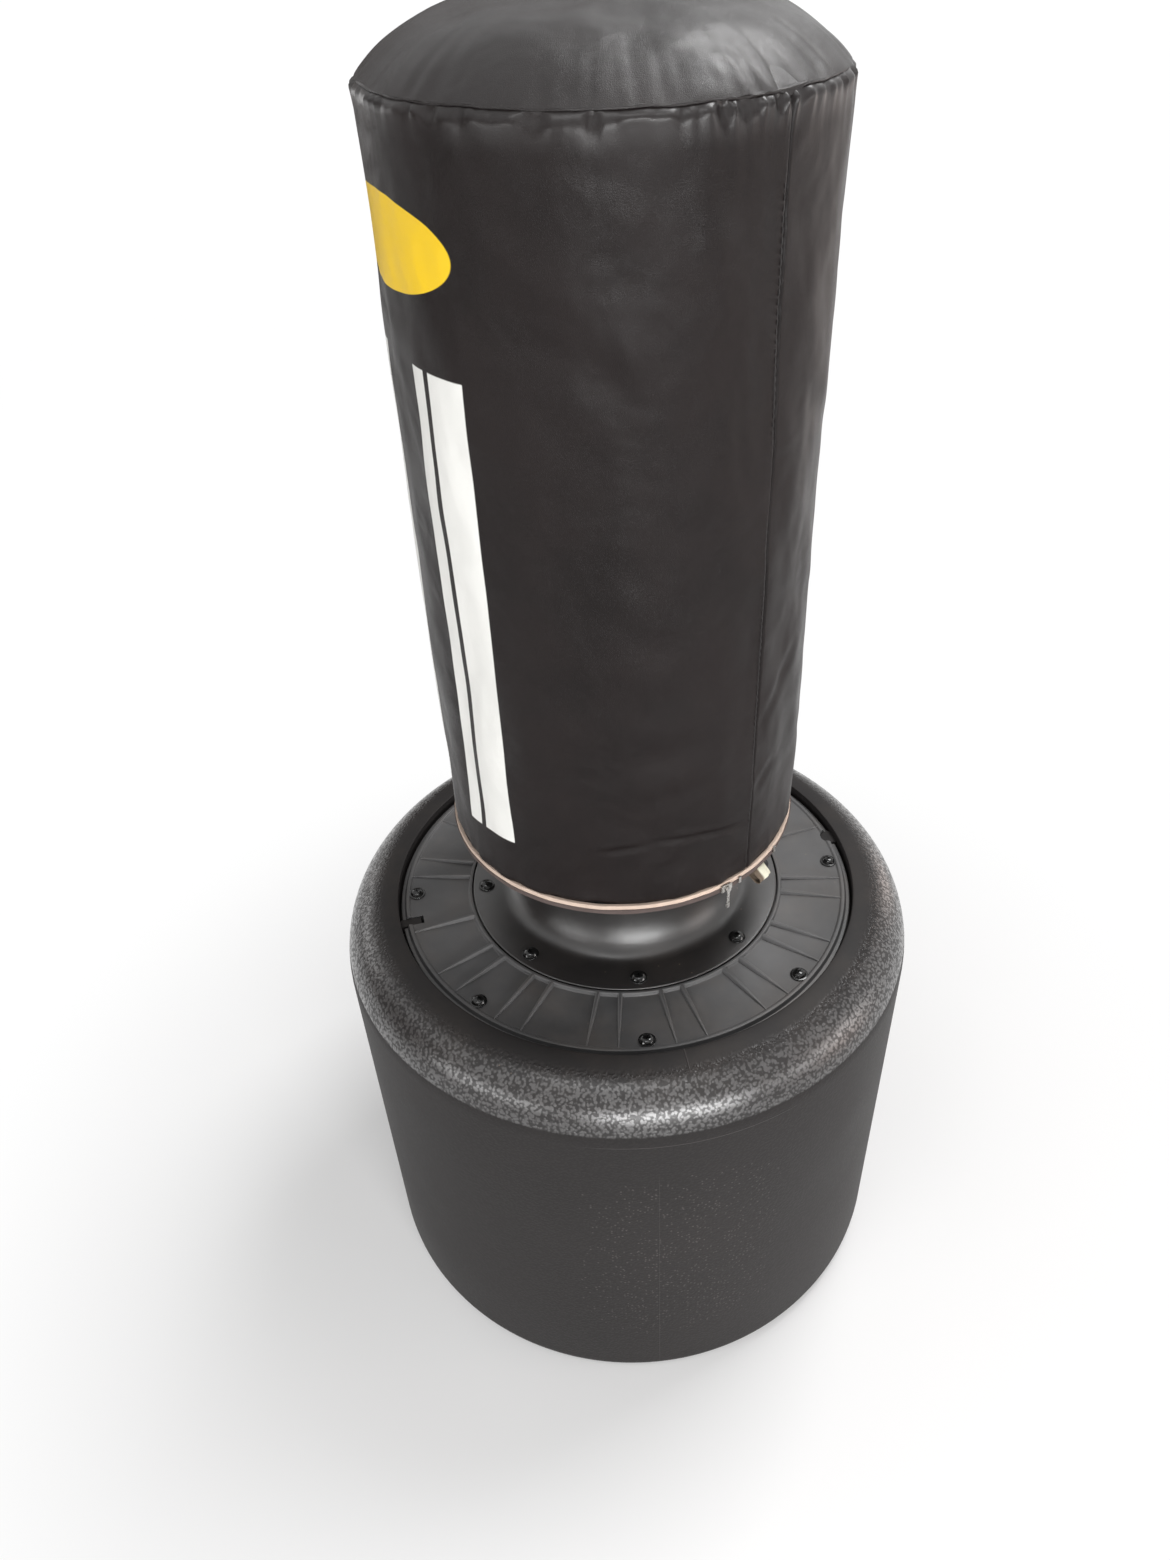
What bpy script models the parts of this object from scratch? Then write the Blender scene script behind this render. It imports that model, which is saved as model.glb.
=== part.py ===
"""Free-standing punching bag: a filled tank, a screwed cover plate with a flared collar,
and a padded bag that sways on an elastomer bush.

Metres, +Z up. The photo was taken from near -Y.
"""
import math

import bmesh
import bpy
from mathutils import Matrix

# Driving sizes
SEGMENTS = 40               # facets round every large circle
GAP = 0.0003                # clear gap between pieces that touch
BASE_RADIUS = 0.300
BASE_TOP = 0.4975           # top of the tank's shoulder
SHOULDER_HEIGHT = 0.060
BASE_WALL = 0.005
FOOT_RADIUS = 0.022         # round at the tank's bottom edge
FOOT_DISH = 0.006           # hollow of the underside
SAND_LEVEL = 0.270
SHOULDER_WIDTH = 0.062      # from the base's side in to the plate
PLATE_RADIUS = BASE_RADIUS - SHOULDER_WIDTH
PLATE_TOP = 0.4910
PLATE_THICK = 0.0080
BEAD_HEIGHT = 0.0040
FLANGE_RADIUS = 0.161
FLANGE_THICK = 0.0050
NECK_RADIUS = 0.100
COLLAR_WALL = 0.005
BAG_RADIUS = 0.168
BAG_BOTTOM = 0.6045
BAG_TOP = 1.236             # height of the top seam
CROWN = 0.042               # rise of the top panel
COVER_THICK = 0.0022
ZIP_TAPE = 0.0044           # height of each visible tape
ZIP_GAP = 0.0012
SPIGOT_HEIGHT = 0.090       # collar spigot above its shoulder
SWAY_RISE = 0.040           # shoulder to the sway axes
CORE_RISE = 0.020           # shoulder to the core's lower end
CROWN_PAD = 0.046           # top seam down to the core's upper end
CORE_CAP = 0.006            # thickness of the core's cap
LEDGE_WIDTH = 0.038         # plate overlap on the base's ledge
GRIP_SHARE = 1.6            # finger bar length in plug head radii
SCREW_COUNT = 8
SCREW_START = -90.0         # degrees, first screw
RIB_ANGLES = (-14.3, -6.8, 6.8, 14.3)   # degrees either side of each screw
KEY_OFFSET = 10.0           # degrees from a screw to each key
SEAM_ANGLE = -52.0
SLIDER_ANGLE = -61.0
TAG_ANGLE = -45.0
PLUG_ANGLE = 112.5

# Screws
SHANK_RADIUS = 0.0030
WASHER_RADIUS = 0.0085
WASHER_THICK = 0.0012
DOME_RADIUS = 0.0066
DOME_HEIGHT = 0.0042
SCREW_LENGTH = 0.022
BOSS_RADIUS = 0.0080
BOSS_DEPTH = 0.020

# Heights that follow from the driving sizes
PLATE_BOTTOM = PLATE_TOP - PLATE_THICK
RIM_TOP = PLATE_TOP - 0.003
BEAD_TOP = PLATE_TOP + BEAD_HEIGHT
SEAT = PLATE_TOP - 0.001
FLANGE_BOTTOM = SEAT + GAP
FLANGE_TOP = FLANGE_BOTTOM + FLANGE_THICK
GASKET_THICK = 0.002
LEDGE = PLATE_BOTTOM - GASKET_THICK - 2 * GAP
LEDGE_THICK = 0.006
SHOULDER_Z = BAG_BOTTOM - 0.0045
SPIGOT_TOP = SHOULDER_Z + SPIGOT_HEIGHT
SWAY_Z = SHOULDER_Z + SWAY_RISE
CORE_BOTTOM = SHOULDER_Z + CORE_RISE
CORE_TOP = BAG_TOP - CROWN_PAD
FOAM_TOP = CORE_TOP + GAP + CORE_CAP
ZIP_Z = BAG_BOTTOM + ZIP_TAPE + ZIP_GAP / 2
COVER_BOTTOM = ZIP_Z + ZIP_GAP / 2 + ZIP_TAPE + GAP
WELT_HEIGHT = 0.0044
COVER_TOP = BAG_TOP - WELT_HEIGHT / 2 - GAP
DOME_BASE = BAG_TOP + WELT_HEIGHT / 2 + GAP

# Radii that follow from the driving sizes
RECESS_RADIUS = PLATE_RADIUS + 0.004
MOUTH_RADIUS = PLATE_RADIUS - LEDGE_WIDTH
RIM_INNER = PLATE_RADIUS - 0.0043
RIB_END = PLATE_RADIUS - 0.0071
BEAD_INNER = FLANGE_RADIUS + 0.0015
BEAD_OUTER = BEAD_INNER + 0.0040
PLATE_HOLE = NECK_RADIUS + 0.012
PLATE_SCREWS = PLATE_RADIUS - 0.0169
COLLAR_SCREWS = FLANGE_RADIUS - 0.0139
FLARE_START = FLANGE_RADIUS - 0.031
SPIGOT_RADIUS = NECK_RADIUS - 0.024
CORE_IN = SPIGOT_RADIUS + 0.014
CORE_OUT = CORE_IN + 0.006
FOAM_SPLIT = NECK_RADIUS + 0.020
FOAM_OUT = BAG_RADIUS - COVER_THICK - GAP
PANEL_HOLE = NECK_RADIUS + 0.018
PLUG_CENTRE = (BEAD_OUTER + MOUTH_RADIUS) / 2
PLUG_HEAD = (MOUTH_RADIUS - BEAD_OUTER) / 2 - 0.0008
PLUG_BODY = PLUG_HEAD - 0.004
SEAL_THICK = 0.0026
PULL_INNER = BAG_RADIUS + 0.0032

# Colour, roughness and metallic value of each material
LOOKS = {
    "tank_plastic": ((0.045, 0.043, 0.043), 0.55, 0.0),
    "plate_plastic": ((0.060, 0.060, 0.062), 0.45, 0.0),
    "collar_plastic": ((0.050, 0.049, 0.050), 0.38, 0.0),
    "black_screw": ((0.015, 0.015, 0.015), 0.20, 0.6),
    "vinyl": ((0.030, 0.026, 0.027), 0.42, 0.0),
    "zip_tape": ((0.560, 0.460, 0.400), 0.85, 0.0),
    "nickel": ((0.700, 0.690, 0.670), 0.25, 1.0),
    "tag_cloth": ((0.820, 0.800, 0.740), 0.80, 0.0),
    "rubber": ((0.020, 0.020, 0.020), 0.70, 0.0),
    "core_plastic": ((0.350, 0.350, 0.340), 0.50, 0.0),
    "foam": ((0.300, 0.310, 0.330), 0.90, 0.0),
    "sand": ((0.560, 0.440, 0.280), 0.95, 0.0),
}


def clear_scene():
    for obj in list(bpy.data.objects):
        bpy.data.objects.remove(obj, do_unlink=True)


def material(name):
    found = bpy.data.materials.get(name)
    if found:
        return found
    colour, roughness, metallic = LOOKS[name]
    made = bpy.data.materials.new(name)
    made.use_nodes = True
    shader = made.node_tree.nodes["Principled BSDF"]
    shader.inputs["Base Color"].default_value = (*colour, 1.0)
    shader.inputs["Roughness"].default_value = roughness
    shader.inputs["Metallic"].default_value = metallic
    made.diffuse_color = (*colour, 1.0)
    return made


def empty(name, location, parent=None):
    """A joint's frame: its children sit at offsets from it."""
    obj = bpy.data.objects.new(name, None)
    obj.empty_display_size = 0.05
    bpy.context.scene.collection.objects.link(obj)
    return place(obj, location, parent)


def world_of(obj):
    """World position of an unrotated object, through its parents."""
    x, y, z = obj.location
    if obj.parent is None:
        return x, y, z
    a, b, c = world_of(obj.parent)
    return x + a, y + b, z + c


def place(obj, location, parent=None):
    origin = (0.0, 0.0, 0.0)
    if parent is not None:
        obj.parent = parent
        origin = world_of(parent)
    obj.location = [p - o for p, o in zip(location, origin)]
    return obj


def new_object(name, mesh, look, parent=None, at=(0.0, 0.0, 0.0), smooth=True):
    """Adds a mesh whose points are given about the place `at`."""
    if not mesh.materials:
        mesh.materials.append(material(look))
    if smooth:
        mesh.set_sharp_from_angle(angle=math.radians(35))
    obj = bpy.data.objects.new(name, mesh)
    bpy.context.scene.collection.objects.link(obj)
    return place(obj, at, parent)


def to_mesh(bm, name):
    bmesh.ops.recalc_face_normals(bm, faces=bm.faces)
    for face in bm.faces:
        face.smooth = True
    mesh = bpy.data.meshes.new(name)
    bm.to_mesh(mesh)
    bm.free()
    return mesh


def lathe(profile, segments=SEGMENTS, ring=False):
    """Turns (radius, height) points about Z. A ring's last point joins its first."""
    bm = bmesh.new()
    verts = [bm.verts.new((r, 0.0, z)) for r, z in profile]
    pairs = list(zip(verts, verts[1:]))
    if ring:
        pairs.append((verts[-1], verts[0]))
    edges = [bm.edges.new(pair) for pair in pairs]
    bmesh.ops.spin(
        bm, geom=verts + edges, cent=(0, 0, 0), axis=(0, 0, 1),
        angle=math.tau, steps=segments, use_merge=True,
    )
    bmesh.ops.remove_doubles(bm, verts=bm.verts, dist=1e-6)
    return bm


def turned(name, profile, look, parent, ring=False):
    return new_object(name, to_mesh(lathe(profile, ring=ring), name), look, parent)


def tube(name, inner, outer, low, high, look, parent):
    profile = [(outer, high), (outer, low), (inner, low), (inner, high)]
    return turned(name, profile, look, parent, ring=True)


def quarter(centre, radii, start, stop, steps):
    """Points of an elliptical arc, angles in degrees from +r towards +z."""
    points = []
    for i in range(steps + 1):
        angle = math.radians(start + (stop - start) * i / steps)
        points.append((centre[0] + radii[0] * math.cos(angle), centre[1] + radii[1] * math.sin(angle)))
    return points


def polar(radius, degrees, z=0.0):
    angle = math.radians(degrees)
    return radius * math.cos(angle), radius * math.sin(angle), z


def screw_angles():
    return [SCREW_START + 360.0 * i / SCREW_COUNT for i in range(SCREW_COUNT)]


def add_box(bm, size, turn_degrees, radius, z):
    """A box of (radial, tangential, upright) size, centred at a polar place."""
    where = Matrix.Rotation(math.radians(turn_degrees), 4, "Z") @ Matrix.Translation((radius, 0, z))
    bmesh.ops.create_cube(bm, size=1.0, matrix=where @ Matrix.Diagonal((*size, 1.0)))


def add_post(bm, radius, place_at, low, high, segments=12):
    x, y, _ = place_at
    bmesh.ops.create_cone(
        bm, cap_ends=True, segments=segments, radius1=radius, radius2=radius,
        depth=high - low, matrix=Matrix.Translation((x, y, (low + high) / 2)),
    )


def helper(name, bm):
    """A hidden shape for a Boolean."""
    obj = bpy.data.objects.new(name, to_mesh(bm, name))
    bpy.context.scene.collection.objects.link(obj)
    obj.hide_render = True
    obj.display_type = "WIRE"
    return obj


def boolean(obj, other, operation):
    modifier = obj.modifiers.new(other.name, "BOOLEAN")
    modifier.operation = operation
    modifier.solver = "EXACT"
    modifier.object = other


def base_profile():
    """Outer skin from the underside's centre to the mouth, then back down inside."""
    shoulder_in = RECESS_RADIUS + 0.002
    wide = BASE_RADIUS - shoulder_in
    low = BASE_TOP - SHOULDER_HEIGHT
    wall = BASE_WALL
    foot_inner = BASE_RADIUS - FOOT_RADIUS - 0.045
    points = [(0.0, FOOT_DISH), (foot_inner - 0.010, FOOT_DISH), (foot_inner, 0.0)]
    points += quarter((BASE_RADIUS - FOOT_RADIUS, FOOT_RADIUS), (FOOT_RADIUS, FOOT_RADIUS), -90, 0, 3)
    points += quarter((shoulder_in, low), (wide, SHOULDER_HEIGHT), 0, 90, 8)
    points += [(RECESS_RADIUS, BASE_TOP - 0.002), (RECESS_RADIUS, LEDGE), (MOUTH_RADIUS, LEDGE)]
    points += [(MOUTH_RADIUS, LEDGE - LEDGE_THICK), (RECESS_RADIUS + wall, LEDGE - LEDGE_THICK)]
    points += [(RECESS_RADIUS + wall, BASE_TOP - wall - 0.001)]
    points += quarter((shoulder_in, low), (wide - wall, SHOULDER_HEIGHT - wall), 60, 0, 4)
    points += quarter((BASE_RADIUS - FOOT_RADIUS, FOOT_RADIUS), (FOOT_RADIUS - wall,) * 2, 0, -90, 2)
    points += [(foot_inner, wall), (foot_inner - 0.010, FOOT_DISH + wall), (0.0, FOOT_DISH + wall)]
    return points


def key_angles():
    """The square key is on the left and the round one opposite it."""
    first = SCREW_START - 90.0 + KEY_OFFSET
    return first, first + 180.0


def build_base(parent):
    base = turned("base_shell", base_profile(), "tank_plastic", parent)
    adds = bmesh.new()
    holes = bmesh.new()
    for angle in screw_angles():
        spot = polar(PLATE_SCREWS, angle)
        add_post(adds, BOSS_RADIUS, spot, LEDGE - BOSS_DEPTH, LEDGE - 0.001)
        add_post(holes, SHANK_RADIUS + GAP, spot, LEDGE - BOSS_DEPTH + 0.003, LEDGE + 0.01, 8)
    square, rounded = key_angles()
    low, high = LEDGE - 0.001, PLATE_TOP - 0.001
    middle = RECESS_RADIUS - 0.0105
    add_box(adds, (0.025, 0.010, high - low), square, middle, (low + high) / 2)
    add_post(adds, 0.0095, polar(RECESS_RADIUS - 0.006, rounded), low, high, 16)
    boolean(base, helper("base_bosses", adds), "UNION")
    boolean(base, helper("base_screw_holes", holes), "DIFFERENCE")
    return base


def build_sand(parent):
    wall = BASE_WALL + GAP
    foot_inner = BASE_RADIUS - FOOT_RADIUS - 0.045
    points = [(0.0, FOOT_DISH + wall), (foot_inner - 0.010, FOOT_DISH + wall), (foot_inner, wall)]
    points += quarter((BASE_RADIUS - FOOT_RADIUS, FOOT_RADIUS), (FOOT_RADIUS - wall,) * 2, -90, 0, 2)
    points += [(BASE_RADIUS - wall, SAND_LEVEL), (0.0, SAND_LEVEL)]
    turned("sand_ballast", points, "sand", parent)


def add_rib(bm, degrees):
    """A ridge that falls from the bead's height to a point near the rim."""
    turn = Matrix.Rotation(math.radians(degrees), 4, "Z")
    ends = (
        (BEAD_OUTER - 0.001, 0.0030, 0.0010, BEAD_TOP - 0.0006),
        (RIB_END, 0.0007, 0.0004, PLATE_TOP + 0.0007),
    )
    low = PLATE_TOP - 0.001
    rings = []
    for r, foot, crest, top in ends:
        outline = [(-foot, low), (foot, low), (crest, top), (-crest, top)]
        rings.append([bm.verts.new(turn @ Matrix.Translation((r, y, z)).to_translation()) for y, z in outline])
    first, last = rings
    bm.faces.new(first)
    bm.faces.new(list(reversed(last)))
    for i in range(4):
        j = (i + 1) % 4
        bm.faces.new((first[j], first[i], last[i], last[j]))


def plate_profile():
    return [
        (PLATE_HOLE, SEAT), (BEAD_INNER, SEAT), (BEAD_INNER, BEAD_TOP - 0.0008),
        (BEAD_INNER + 0.0008, BEAD_TOP), (BEAD_OUTER - 0.0008, BEAD_TOP), (BEAD_OUTER, PLATE_TOP),
        (RIM_INNER, PLATE_TOP), (RIM_INNER + 0.0008, RIM_TOP), (PLATE_RADIUS - 0.001, RIM_TOP),
        (PLATE_RADIUS, RIM_TOP - 0.001), (PLATE_RADIUS, PLATE_BOTTOM), (PLATE_HOLE, PLATE_BOTTOM),
    ]


def build_plate(parent):
    plate = turned("cover_plate", plate_profile(), "plate_plastic", parent, ring=True)
    adds = bmesh.new()
    cuts = bmesh.new()
    square, rounded = key_angles()
    for angle in screw_angles():
        for offset in RIB_ANGLES:
            near_key = [abs((angle + offset - key + 180) % 360 - 180) < 4.0 for key in (square, rounded)]
            if not any(near_key):
                add_rib(adds, angle + offset)
        add_post(adds, BOSS_RADIUS, polar(COLLAR_SCREWS, angle), PLATE_BOTTOM - BOSS_DEPTH, PLATE_BOTTOM + 0.001)
        shank = SHANK_RADIUS + GAP
        add_post(cuts, shank, polar(COLLAR_SCREWS, angle), PLATE_BOTTOM - BOSS_DEPTH + 0.003, PLATE_TOP + 0.02, 8)
        add_post(cuts, shank, polar(PLATE_SCREWS, angle), PLATE_BOTTOM - 0.01, PLATE_TOP + 0.02, 8)
    deep = PLATE_RADIUS - 0.2163 + 0.010
    add_box(cuts, (deep, 0.012, 0.04), square, 0.2163 + deep / 2, PLATE_TOP)
    add_post(cuts, 0.0105, polar(RECESS_RADIUS - 0.006, rounded), PLATE_BOTTOM - 0.01, PLATE_TOP + 0.02, 16)
    add_post(cuts, PLUG_BODY + GAP, polar(PLUG_CENTRE, PLUG_ANGLE), PLATE_BOTTOM - 0.01, PLATE_TOP + 0.02, 24)
    boolean(plate, helper("plate_ribs", adds), "UNION")
    boolean(plate, helper("plate_cuts", cuts), "DIFFERENCE")
    low = LEDGE + GAP
    tube("plate_gasket", MOUTH_RADIUS + 0.0015, PLATE_SCREWS - BOSS_RADIUS, low, low + GASKET_THICK, "rubber", parent)


def collar_profile():
    wall = COLLAR_WALL
    rise = 0.57 * (SHOULDER_Z - FLANGE_TOP)
    centre = (FLARE_START, FLANGE_TOP + rise)
    points = [(FLANGE_RADIUS, FLANGE_BOTTOM), (FLANGE_RADIUS, FLANGE_TOP - 0.001), (FLANGE_RADIUS - 0.001, FLANGE_TOP)]
    points += quarter(centre, (FLARE_START - NECK_RADIUS, rise), 270, 180, 6)
    points += [(NECK_RADIUS, SHOULDER_Z), (SPIGOT_RADIUS, SHOULDER_Z), (SPIGOT_RADIUS, SPIGOT_TOP)]
    points += [(SPIGOT_RADIUS - wall, SPIGOT_TOP), (SPIGOT_RADIUS - wall, SHOULDER_Z - wall)]
    points += [(NECK_RADIUS - wall, SHOULDER_Z - wall)]
    points += quarter(centre, (FLARE_START - NECK_RADIUS + wall, rise + FLANGE_THICK), 180, 270, 5)
    return points


def build_collar(parent):
    collar = turned("collar", collar_profile(), "collar_plastic", parent, ring=True)
    cuts = bmesh.new()
    for angle in screw_angles():
        spot = polar(COLLAR_SCREWS, angle)
        add_post(cuts, SHANK_RADIUS + GAP, spot, FLANGE_BOTTOM - 0.01, FLANGE_TOP + 0.01, 8)
    boolean(collar, helper("collar_holes", cuts), "DIFFERENCE")


def screw_mesh():
    """A washer-head screw about its own axis, seated at height 0."""
    points = [(0.0, WASHER_THICK + DOME_HEIGHT), (DOME_RADIUS * 0.72, WASHER_THICK + DOME_HEIGHT * 0.72)]
    points += [(DOME_RADIUS, WASHER_THICK), (WASHER_RADIUS, WASHER_THICK), (WASHER_RADIUS, 0.0)]
    points += [(SHANK_RADIUS, 0.0), (SHANK_RADIUS, -SCREW_LENGTH), (0.0, -SCREW_LENGTH)]
    return to_mesh(lathe(points, segments=8), "washer_head_screw")


def build_screws(parent):
    mesh = screw_mesh()
    for i, angle in enumerate(screw_angles(), 1):
        new_object(f"plate_screw_{i}", mesh, "black_screw", parent, polar(PLATE_SCREWS, angle, PLATE_TOP + GAP))
        new_object(f"collar_screw_{i}", mesh, "black_screw", parent, polar(COLLAR_SCREWS, angle, FLANGE_TOP + GAP))


def build_plug(parent):
    """Seal and bung, about the bung's own axis; heights are counted from the plate's top."""
    at = polar(PLUG_CENTRE, PLUG_ANGLE, PLATE_TOP)
    lift = empty("plug_lift_frame", at, parent)
    inner, outer = PLUG_BODY + GAP, PLUG_HEAD - 0.0005
    ring = [(outer, GAP + SEAL_THICK), (outer, GAP), (inner, GAP), (inner, GAP + SEAL_THICK)]
    new_object("plug_seal", to_mesh(lathe(ring, 24, True), "plug_seal"), "rubber", lift, at)
    seat = SEAL_THICK + 2 * GAP
    top = seat + 0.007
    points = [(0.0, top), (PLUG_HEAD - 0.001, top), (PLUG_HEAD, top - 0.001), (PLUG_HEAD, seat)]
    points += [(PLUG_BODY, seat), (PLUG_BODY, -0.013), (0.0, -0.013)]
    plug = new_object("fill_plug", to_mesh(lathe(points, 24), "fill_plug"), "collar_plastic", lift, at)
    grip = bmesh.new()
    add_box(grip, (PLUG_HEAD * GRIP_SHARE, 0.006, 0.008), 0.0, 0.0, top + 0.003)
    bar = helper("plug_grip", grip)
    place(bar, at, lift)
    boolean(plug, bar, "UNION")


def build_core(parent, bush):
    points = [(CORE_OUT, SHOULDER_Z + GAP), (SPIGOT_RADIUS + GAP, SHOULDER_Z + GAP)]
    points += [(SPIGOT_RADIUS + GAP, SPIGOT_TOP - 0.004), (CORE_IN - GAP, SPIGOT_TOP - 0.004)]
    points += [(CORE_IN - GAP, CORE_BOTTOM - GAP), (CORE_OUT, CORE_BOTTOM - GAP)]
    seated = [(r, z - SWAY_Z) for r, z in points]
    new_object("neck_bush", to_mesh(lathe(seated, ring=True), "neck_bush"), "rubber", bush, (0, 0, SWAY_Z))
    tube("core_tube", CORE_IN, CORE_OUT, CORE_BOTTOM, CORE_TOP, "core_plastic", parent)
    cap = [(0.0, FOAM_TOP), (CORE_OUT, FOAM_TOP), (CORE_OUT, CORE_TOP + GAP), (CORE_IN - GAP, CORE_TOP + GAP)]
    cap += [(CORE_IN - GAP, CORE_TOP - 0.012), (0.0, CORE_TOP - 0.012)]
    turned("core_cap", cap, "core_plastic", parent)


def dome(radius, low, rise, steps=5):
    """Crowned outline from the axis to the edge, flat in the middle and rounded at the rim."""
    points = []
    for i in range(steps + 1):
        share = math.sin(math.pi / 2 * i / steps)
        points.append((radius * share, low + rise * (1.0 - share ** 4)))
    return points


def build_foam(parent):
    panel_top = BAG_BOTTOM + COVER_THICK + GAP
    tube("foam_inner", CORE_OUT + GAP, FOAM_SPLIT, CORE_BOTTOM, FOAM_TOP, "foam", parent)
    tube("foam_outer", FOAM_SPLIT + GAP, FOAM_OUT, panel_top, FOAM_TOP, "foam", parent)
    points = dome(FOAM_OUT - 0.002, DOME_BASE - GAP, CROWN - COVER_THICK)
    points += [(FOAM_OUT - 0.002, FOAM_TOP + GAP), (0.0, FOAM_TOP + GAP)]
    turned("foam_top", points, "foam", parent)


def build_cover(parent):
    inner = BAG_RADIUS - COVER_THICK
    tube("cover_side", inner, BAG_RADIUS, COVER_BOTTOM, COVER_TOP, "vinyl", parent)
    outside = dome(BAG_RADIUS, DOME_BASE, CROWN)
    under = dome(BAG_RADIUS - COVER_THICK, DOME_BASE, CROWN - COVER_THICK)
    turned("cover_top", outside + list(reversed(under)), "vinyl", parent)
    half = WELT_HEIGHT / 2
    welt = quarter((BAG_RADIUS - 0.0005, BAG_TOP), (half, half), 90, -90, 4)
    welt += [(inner, BAG_TOP - half), (inner, BAG_TOP + half)]
    turned("top_welt", welt, "vinyl", parent, ring=True)
    tube("bottom_panel", PANEL_HOLE, inner - GAP, BAG_BOTTOM, BAG_BOTTOM + COVER_THICK, "vinyl", parent)


def strip(name, size, degrees, radius, z, look, parent):
    bm = bmesh.new()
    add_box(bm, size, degrees, radius, z)
    return new_object(name, to_mesh(bm, name), look, parent, smooth=False)


def build_seams(parent):
    thick = 0.0010
    height = COVER_TOP - COVER_BOTTOM - 0.004
    for name, turn in (("side_seam_a", 0.0), ("side_seam_b", 180.0)):
        size = (thick, 0.0045, height)
        middle = (COVER_TOP + COVER_BOTTOM) / 2
        strip(name, size, SEAM_ANGLE + turn, BAG_RADIUS + GAP + thick / 2, middle, "vinyl", parent)


def build_zip(parent):
    inner = BAG_RADIUS - 0.0020
    low = BAG_BOTTOM
    tube("zip_lower_tape", inner, BAG_RADIUS, low, low + ZIP_TAPE, "zip_tape", parent)
    low += ZIP_TAPE + ZIP_GAP
    tube("zip_upper_tape", inner, BAG_RADIUS, low, low + ZIP_TAPE, "zip_tape", parent)
    thick = 0.0012
    for name, degrees in (("zip_stop_a", SEAM_ANGLE - 3.5), ("zip_stop_b", SEAM_ANGLE + 15.0)):
        strip(name, (thick, 0.0030, 0.0070), degrees, BAG_RADIUS + GAP + thick / 2, ZIP_Z, "nickel", parent)


def add_radial_post(bm, radius, inner, outer, segments=12):
    """A round post along +X, about height 0."""
    turn = Matrix.Rotation(math.pi / 2, 4, "Y")
    where = Matrix.Translation(((inner + outer) / 2, 0, 0)) @ turn
    bmesh.ops.create_cone(
        bm, cap_ends=True, segments=segments, radius1=radius, radius2=radius, depth=outer - inner, matrix=where,
    )


def build_slider(parent):
    """The slider turns about the bag's axis, and its pull hangs from a radial stud."""
    at = (0.0, 0.0, ZIP_Z)
    turn = Matrix.Rotation(math.radians(SLIDER_ANGLE), 4, "Z")
    seat = BAG_RADIUS + GAP
    shell = bmesh.new()
    add_box(shell, (0.0022, 0.012, 0.009), 0.0, seat + 0.0011, 0.0)
    slider = new_object("zip_slider", to_mesh(shell, "zip_slider"), "nickel", parent, at, smooth=False)
    slider.data.transform(turn)
    web = bmesh.new()
    add_box(web, (0.0034, 0.006, ZIP_GAP / 2), 0.0, seat + 0.0003, 0.0)
    stud = bmesh.new()
    add_radial_post(stud, 0.0011, seat + 0.0012, PULL_INNER + 0.0022)
    head = bmesh.new()
    add_radial_post(head, 0.0022, PULL_INNER + 0.0016, PULL_INNER + 0.0024)
    for name, shape in (("slider_web", web), ("slider_stud", stud), ("slider_stud_head", head)):
        bmesh.ops.transform(shape, matrix=turn, verts=shape.verts)
        extra = helper(name, shape)
        place(extra, at, parent)
        boolean(slider, extra, "UNION")
    return slider


def build_pull(parent):
    """A flat pull with an eye, about the stud's axis."""
    thick = 0.0012
    turn = Matrix.Rotation(math.radians(SLIDER_ANGLE), 4, "Z")
    middle = PULL_INNER + GAP / 2 + thick / 2
    plate = bmesh.new()
    outline = [(0.0030 * math.sin(math.radians(a)), 0.0030 * math.cos(math.radians(a))) for a in range(-90, 91, 30)]
    outline += [(0.0024, -0.010), (0.0034, -0.024), (0.0024, -0.026), (-0.0024, -0.026), (-0.0034, -0.024)]
    outline += [(-0.0024, -0.010)]
    face = plate.faces.new([plate.verts.new((-thick / 2, y, z)) for y, z in outline])
    made = bmesh.ops.extrude_face_region(plate, geom=[face])
    moved = [v for v in made["geom"] if isinstance(v, bmesh.types.BMVert)]
    bmesh.ops.translate(plate, verts=moved, vec=(thick, 0, 0))
    bmesh.ops.transform(plate, matrix=turn, verts=plate.verts)
    at = polar(middle, SLIDER_ANGLE, ZIP_Z)
    pull = new_object("zip_pull", to_mesh(plate, "zip_pull"), "nickel", parent, at, smooth=False)
    eye = bmesh.new()
    add_radial_post(eye, 0.0011 + GAP, -0.003, 0.003)
    bmesh.ops.transform(eye, matrix=turn, verts=eye.verts)
    cutter = helper("pull_eye", eye)
    place(cutter, at, parent)
    boolean(pull, cutter, "DIFFERENCE")


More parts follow.
